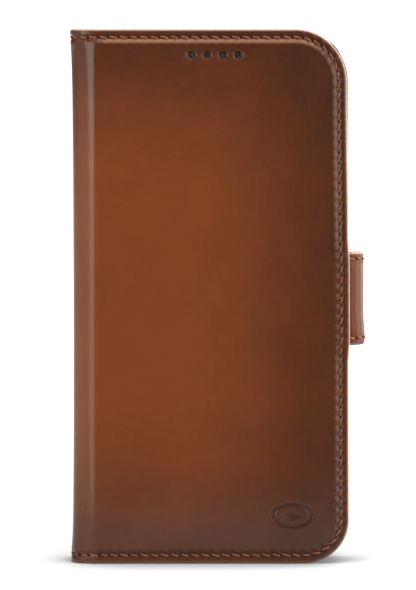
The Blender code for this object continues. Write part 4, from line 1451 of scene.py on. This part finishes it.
# ---- the closure strap --------------------------------------------------------------------------------------
@dataclass
class Strap:
    """The closure strap: sewn in under the front cover's edge, bent round the side, with a magnetic flap."""

    finishes: Finishes
    root: float = 1.75
    radius: float = 4.6
    leather: float = 1.1
    lining: float = 0.7
    seam_inset: float = 2.1
    sewn_end: float = 82.5
    width: float = 28.0
    wrap: float = 0.52
    magnet_rise: float = 1.12
    near_bend: tuple[float, float] = (85.4, 88.0)
    flap_bend: tuple[float, float] = (84.6, 88.8)

    def __post_init__(self) -> None:
        """Read the strap's heights and its tip from the frame."""
        bridge_low, bridge_high = DATUM.box("strap_bridge_leather")
        flap_low, flap_high = DATUM.box("strap_flap_leather")
        self.low, self.high = bridge_low[2] + 0.8, bridge_high[2]
        self.flap_low, self.flap_high = flap_low[2], flap_high[2]
        self.tip = flap_low[0]
        self.middle = (self.root + DATUM.strap_back) / 2
        self.turn = DATUM.reach - self.radius

    def _line(self, far: bool, inset: float) -> Array:
        """Return the strap's line in plan from the middle of its bridge to one end, moved inwards."""
        side, radius = DATUM.reach - inset, self.radius - inset
        if far:
            centre = (self.turn, DATUM.strap_back - self.radius)
            return joined(line((side, self.middle), (side, centre[1])), arc(centre, radius, 0.0, 90.0),
                          line((self.turn, DATUM.strap_back - inset), (self.tip - 3.0, DATUM.strap_back - inset)))
        centre = (self.turn, self.root + self.radius)
        return joined(line((side, self.middle), (side, centre[1])), arc(centre, radius, 0.0, -90.0),
                      line((self.turn, self.root + inset), (self.sewn_end - 3.0, self.root + inset)))

    def _section(self, far: bool, inset: float, inner: bool) -> Section:
        """Return the line with the way its show side faces."""
        side = 1 if far else -1
        return Section(self._line(far, inset), 0.0, -side if inner else side)

    def _heights(self, section: Section, far: bool, along: Array, share: Array) -> Array:
        """Return heights across the strap's width, which tapers towards the flap's tip."""
        x = section.spot(along, 0)
        y = section.spot(along, 1)
        round_share = np.clip(y / DATUM.strap_back, 0.0, 1.0)
        low = self.low + (self.flap_low - self.low) * round_share
        high = self.high + (min(self.flap_high, self.high - 1.2) - self.high) * round_share
        narrowing = np.clip((self.turn - x) / (self.turn - self.tip), 0.0, 1.0) * 1.6 if far else 0.0
        return (low + narrowing) + share * (high - low - 2 * narrowing)

    def _bulge(self, section: Section, along: Array, share: Array) -> Array:
        """Return how far the bridge stands out sideways, a little more towards its lower edge."""
        x = section.spot(along, 0)
        return 0.6 * smooth(self.turn, self.turn + self.radius, x) * (1.0 - smooth(0.0, 0.38, share))

    def _net(self, section: Section, far: bool, trim: float) -> Blank:
        """Return the strap's blank from the bridge's middle to one end."""
        last = self.tip if far else self.sewn_end
        flat = section.along > 12.0
        order = np.argsort(section.points[flat, 0])
        end = np.interp(last + trim, section.points[flat, 0][order], section.along[flat][order])
        corner = 5.0 - trim if far else 2.8
        return Blank(start=0.0, end=float(end), low=trim, high=self.width - trim, low_radius=corner,
                     high_radius=corner, margin=2.6, pitch=0.9,
                     rings=(2.3, 2.0, 1.75, 1.5, 1.2, 0.9, 0.6, 0.38, 0.2, 0.07, 0.0))

    def _relief(self, section: Section, net: Blank, far: bool, along: Array, edge: Array, run: Array) -> Array:
        """Return how far the outer leather stands off its plain line."""
        x = section.spot(along, 0)
        over_flap = smooth(self.turn + 1.5, self.turn - 3.0, x) if far else 0.0 * x
        lift = -(0.10 + 0.42 * over_flap) * (1.0 - smooth(2.0, 3.6, edge))
        lift = lift - 0.16 * bell(edge, self.seam_inset, 0.42)
        lift = lift - 0.06 * np.cos(2 * pi * run / 3.1) * bell(edge, 2.5, 0.4) * (edge < 3.4)
        lift = lift - 0.34 * np.clip(1.0 - edge / 1.0, 0.0, 1.0) ** 2
        return lift - rounding(edge, 0.3)

    def _outer(self, name: str, far: bool) -> bpy.types.Object:
        """Return one half of the strap's outer leather."""
        section = self._section(far, 0.0, False)
        net = self._net(section, far, 0.0)
        lift = self._relief(section, net, far, net.along, net.edge, net.run)
        x = section.spot(net.along, 0)
        sewn = 0.0 if far else smooth(self.turn + 0.3, self.turn - 1.2, x)
        bulge = self._bulge(section, net.along, net.up / self.width)
        lift = lift * (1.0 - sewn) + bulge
        up = self._heights(section, far, net.along, net.up / self.width)
        shown = section.place(net.along, lift, up)
        over_flap = smooth(self.turn + 1.5, self.turn - 3.0, x)
        dip = -(0.42 if far else 0.0) * over_flap * (1.0 - smooth(2.0, 3.6, net.edge))
        hidden = section.place(net.along, dip - self.leather + bulge, up)
        lay = np.stack([net.along * (1 if far else -1) + 60.0, net.up + 30.0, net.edge], 1)
        finishes = [self.finishes.strap_hide, self.finishes.cut_edge]
        return leather_shell(name, net, shown, hidden, lay, finishes, raw_edge=0.62)

    def _inner(self, name: str, far: bool) -> bpy.types.Object:
        """Return one half of the strap's lining."""
        inset = self.leather + self.lining
        section = self._section(far, inset, True)
        net = self._net(section, far, 0.3)
        x = section.spot(net.along, 0)
        over_flap = smooth(self.turn + 1.0, self.turn - 3.0, x) if far else 0.0 * x
        inner = smooth(1.8, 3.4, net.edge)
        wrap = -self.wrap * over_flap * (1.0 - inner) + self.magnet_rise * over_flap * inner
        channel = 0.10 * bell(net.edge + 0.3, self.seam_inset, 0.4)
        lift = np.where(over_flap > 0.0, wrap - channel, -channel)
        bulge = self._bulge(section, net.along, net.up / self.width)
        up = self._heights(section, far, net.along, net.up / self.width)
        shown = section.place(net.along, lift - bulge, up)
        under = np.where(over_flap > 0.0, wrap, 0.0) - self.lining + 0.02
        hidden = section.place(net.along, under - bulge, up)
        lay = np.stack([net.along + 80.0, net.up, net.edge], 1)
        finishes = [self.finishes.lining, self.finishes.cut_edge]
        return leather_shell(name, net, shown, hidden, lay, finishes, raw_edge=0.0)

    def _rows(self, name: str, far: bool) -> bpy.types.Object:
        """Return the stitches along the strap's edges."""
        section = self._section(far, 0.0, False)
        net = self._net(section, far, 0.0)
        pieces = []
        for number, path in enumerate(net.border(self.seam_inset, end_too=far)):
            if not far:
                path = path[section.spot(path[:, 0], 0) > DATUM.width - 0.6]
            run = travelled(path)
            edge = np.full(len(path), self.seam_inset)
            lift = self._relief(section, net, far, path[:, 0], edge, run) + 0.12
            lift = lift + self._bulge(section, path[:, 0], path[:, 1] / self.width)
            up = self._heights(section, far, path[:, 0], path[:, 1] / self.width)
            points = section.place(path[:, 0], lift, up)
            ways = section.facing(path[:, 0])
            pieces.append(STITCHES.row(f"{name}_{number}", points, ways, self.finishes.bright_thread,
                                       self.finishes.hole))
        return merged(name, pieces)

    def build(self) -> list[bpy.types.Object]:
        """Return the strap's pieces, hiding the imported ones that they replace."""
        made = []
        for far, part, bodies in ((False, "near", ("front_cover", "strap_bridge")),
                                  (True, "flap", ("strap_flap", "strap_bridge"))):
            leather = self._outer(f"strap_{part}_leather", far)
            lining = self._inner(f"strap_{part}_lining", far)
            rows = self._rows(f"strap_{part}_stitches", far)
            nodes = (("strap_flap_leather", "strap_flap_lining") if far
                     else ("strap_bridge_leather", "strap_bridge_lining"))
            start, end = self.flap_bend if far else self.near_bend
            for piece, slot_name in ((leather, "outer_leather"), (lining, "lining_leather"), (rows, "thread")):
                tuple(DATUM.world((start, 0.0, 0.0)))
                tuple(DATUM.world((end, 0.0, 0.0)))
                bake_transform(piece)
            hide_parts(nodes[0])
            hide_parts(nodes[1])
            if not far:
                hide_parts("strap_sewn_end")
            made += [leather, lining, rows]
        return made


def merged(name: str, pieces: Sequence[bpy.types.Object]) -> bpy.types.Object:
    """Return several plain pieces as one."""
    work = bmesh.new()
    materials = list(pieces[0].data.materials)
    for piece in pieces:
        work.from_mesh(piece.data)
    mesh = bpy.data.meshes.new(name)
    work.to_mesh(mesh)
    work.free()
    for piece in pieces:
        bpy.data.objects.remove(piece)
    return new_piece(name, mesh, materials)


# ---- what lies inside the covers ----------------------------------------------------------------------------
@dataclass
class Core:
    """The cradle, its pad, and the boards, foam, mesh and steel inside the covers."""

    finishes: Finishes

    def build(self) -> list[bpy.types.Object]:
        """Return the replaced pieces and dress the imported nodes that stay."""
        finishes = self.finishes
        cradle = merged_copy("phone_cradle", "moulded_cradle", finishes.moulded, 0.22)
        pad = merged_copy("cradle_pad", "microfibre_pad", finishes.microfibre, 0.16)
        foam = merged_copy("front_cover_foam", "cover_foam_pad", finishes.foam, 0.3)
        low, high = DATUM.box("earpiece_mesh")
        mesh = WovenWire().patch("earpiece_wire_mesh", low, high, finishes.wire)
        corners = [(low[0] + 0.2, low[2] + 0.2), (high[0] - 0.2, low[2] + 0.2),
                   (high[0] - 0.2, high[2] - 0.2), (low[0] + 0.2, high[2] - 0.2)]
        middle = (low[1] + high[1]) / 2
        # The black cloth behind the wire is painted shade for the inside of the earpiece holes.
        cloth = prism(np.array(corners), middle + 0.16, middle + 0.24)
        cloth.name = cloth.data.name = "earpiece_shade_cloth"
        cloth.data.materials.append(finishes.shade_cloth)
        for piece, body, node, slot_name in (
            (cradle, "back", "phone_cradle", "cradle"), (pad, "back", "cradle_pad", "microfibre"),
            (foam, "front_cover", "front_cover_foam", "foam"),
            (mesh, "front_cover", "earpiece_mesh", "steel_mesh"),
            (cloth, "front_cover", "earpiece_mesh", "microfibre"),
        ):
            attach(piece, body)
            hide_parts(node)
        for node, material in (
            ("front_cover_board", finishes.card), ("back_cover_board", finishes.card),
            ("strap_keeper_plate", finishes.zinc), ("strap_magnet", finishes.nickel),
        ):
            mesh_data = frame["nodes"][node].data
            mesh_data.materials.clear()
            mesh_data.materials.append(material)
        return [cradle, pad, foam, mesh, cloth]


# ---- the studio ---------------------------------------------------------------------------------------------
@dataclass
class Studio:
    """A pale floor, soft lights and the camera, in metres.

    Each light has its place, its size, its watts and the height that it aims at.
    """

    distance: float = 1.22
    eye_height: float = 0.165
    frame_height: float = 0.18465
    sensor: float = 36.0
    aim: tuple[float, float] = (-0.0033, 0.0848)
    ambient: float = 0.08
    backdrop: float = 1.2
    lights: dict[str, tuple] = field(default_factory=lambda: {
        "overhead": ((0.0, -0.42, 1.02), (0.9, 0.7), 5.4, 0.05),
        "left_strip": ((-0.62, -1.00, 0.22), (0.30, 0.76), 2.0, 0.09),
        "left_upper": ((-0.61, -0.99, 0.32), (0.30, 0.46), 1.1, 0.12),
        "left_wash": ((-1.05, -0.55, 0.5), (1.2, 1.3), 4.2, 0.09),
        "right_wash": ((0.62, -1.05, 0.4), (0.6, 0.9), 3.0, 0.09),
        "rear_fill": ((0.35, 1.4, 0.75), (1.0, 0.8), 7.0, 0.09),
        "right_strip": ((0.93, -0.30, 0.25), (0.7, 0.9), 6.2, 0.08),
        "right_rear": ((0.95, 0.45, 0.3), (0.6, 0.8), 5.0, 0.08),
    })

    def build(self) -> None:
        """Make the floor, the lights and the camera."""
        scene = bpy.context.scene
        scene.view_settings.view_transform = "Standard"
        world = bpy.data.worlds.new("studio")
        world.use_nodes = True
        tree = world.node_tree
        seen = tree.nodes.new("ShaderNodeLightPath").outputs["Is Camera Ray"]
        strength = add_node(tree, "ShaderNodeMapRange", {0: seen, 3: self.ambient, 4: self.backdrop}).outputs[0]
        tree.nodes["Background"].inputs[0].default_value = linear("#ffffff")
        tree.links.new(strength, tree.nodes["Background"].inputs[1])
        scene.world = world
        self._floor()
        for name, (place, size, power, target_height) in self.lights.items():
            self._light(name, place, size, power, (0.0, 0.0, target_height))
        self._camera()

    def _floor(self) -> None:
        """Make the pale floor. Its glow is lower near the case and in the nook at its foot, a painted contact
        shadow; it takes shadows and shows in reflections, but throws no light up.
        """
        mesh = bpy.data.meshes.new("pale_floor")
        corners = [(-3.0, -0.17), (3.0, -0.17), (3.0, 5.0), (-3.0, 5.0)]
        mesh.from_pydata([(x, y, -0.0002) for x, y in corners], [], [(0, 1, 2, 3)])
        recipe = Recipe("matte_white_floor", Grid.SPACE)
        recipe.set(Emission_Color=linear("#ffffff"))
        # The glow is lower near the case and in the occluded nook at its foot: a painted contact shadow.
        away = recipe.add("VectorMath", (recipe.place,), "Value", operation="LENGTH")
        nook = recipe.add("AmbientOcclusion", {"Distance": 0.03}, "AO", samples=8)
        glow = [
            recipe.add("MapRange", numbers, **SOFT_STEP)
            for numbers in ((away, 90.0, 480.0, 0.62, 1.05), (nook, 0.42, 0.92, 0.05, 1.0))
        ]
        recipe.tree.links.new(recipe.add("Math", glow, **TIMES), recipe.shader.inputs["Emission Strength"])
        grain, = recipe.patterns((6.0, 2.0, 0.5))
        material = recipe.done(recipe.tinted("#c9c9c9", (grain, "#c4c4c4")), 0.9)
        floor = new_piece("pale_floor", mesh, [material])
        floor.visible_diffuse = False

    def _light(
        self, name: str, place: tuple[float, float, float], size: tuple[float, float], power: float,
        target: tuple[float, float, float],
    ) -> None:
        """Add a soft rectangular light that faces a target."""
        data = bpy.data.lights.new(name, "AREA")
        data.shape, data.size, data.size_y, data.energy = "RECTANGLE", size[0], size[1], power
        lamp = bpy.data.objects.new(name, data)
        lamp.location = place
        way = Vector(target) - Vector(place)
        lamp.rotation_euler = way.to_track_quat("-Z", "Y").to_euler()
        bpy.context.scene.collection.objects.link(lamp)

    def _camera(self) -> None:
        """Add the camera, a long lens a little above the case."""
        low = CAD_BOUNDS[0]
        data = bpy.data.cameras.new("camera")
        data.sensor_width = self.sensor
        data.lens = self.sensor * self.distance / self.frame_height
        data.clip_start, data.clip_end = 0.05, 20.0
        camera = bpy.data.objects.new("camera", data)
        aim = Vector((self.aim[0], low.y, self.aim[1]))
        camera.location = (aim.x, low.y - self.distance, self.eye_height)
        camera.rotation_euler = (aim - camera.location).to_track_quat("-Z", "Y").to_euler()
        bpy.context.scene.collection.objects.link(camera)
        bpy.context.scene.camera = camera


# ---- the case -----------------------------------------------------------------------------------------------
def main() -> None:
    """Build every piece of the case, then the studio."""
    logging.basicConfig(level=logging.INFO, format="%(name)s: %(message)s")
    finishes = Finishes()
    made: list[bpy.types.Object] = []
    nodes = {True: ("front_cover_leather", "spine_leather"), False: ("back_cover_leather",)}
    threads = {True: ("front_cover_thread", "spine_thread_lower", "spine_thread_upper"),
               False: ("back_cover_thread",)}
    linings = {True: ("front_lining", "spine_lining"), False: ("back_lining",)}
    pockets = PocketStack(finishes)
    for front, body in ((True, "front_cover"), (False, "back")):
        side = "front" if front else "back"
        cover = CoverLeather(f"{side}_hide", body, front, finishes)
        hide, seam = cover.build(), cover.seam()
        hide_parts(*nodes[front])
        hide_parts(*threads[front])
        lining = CoverLining(f"{side}_lining_hide", body, front, finishes)
        sheet = lining.build()
        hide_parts(*linings[front])
        made += [hide, seam, sheet, inner_seam(lining, pockets if front else None, finishes)]
    made += pockets.build()
    made += Strap(finishes).build()
    made += Core(finishes).build()
    for piece in made:
        piece.data.calc_loop_triangles()
        LOG.info("%s: %d triangles", piece.name, len(piece.data.loop_triangles))
    Studio().build()


if __name__ == "__main__":
    main()
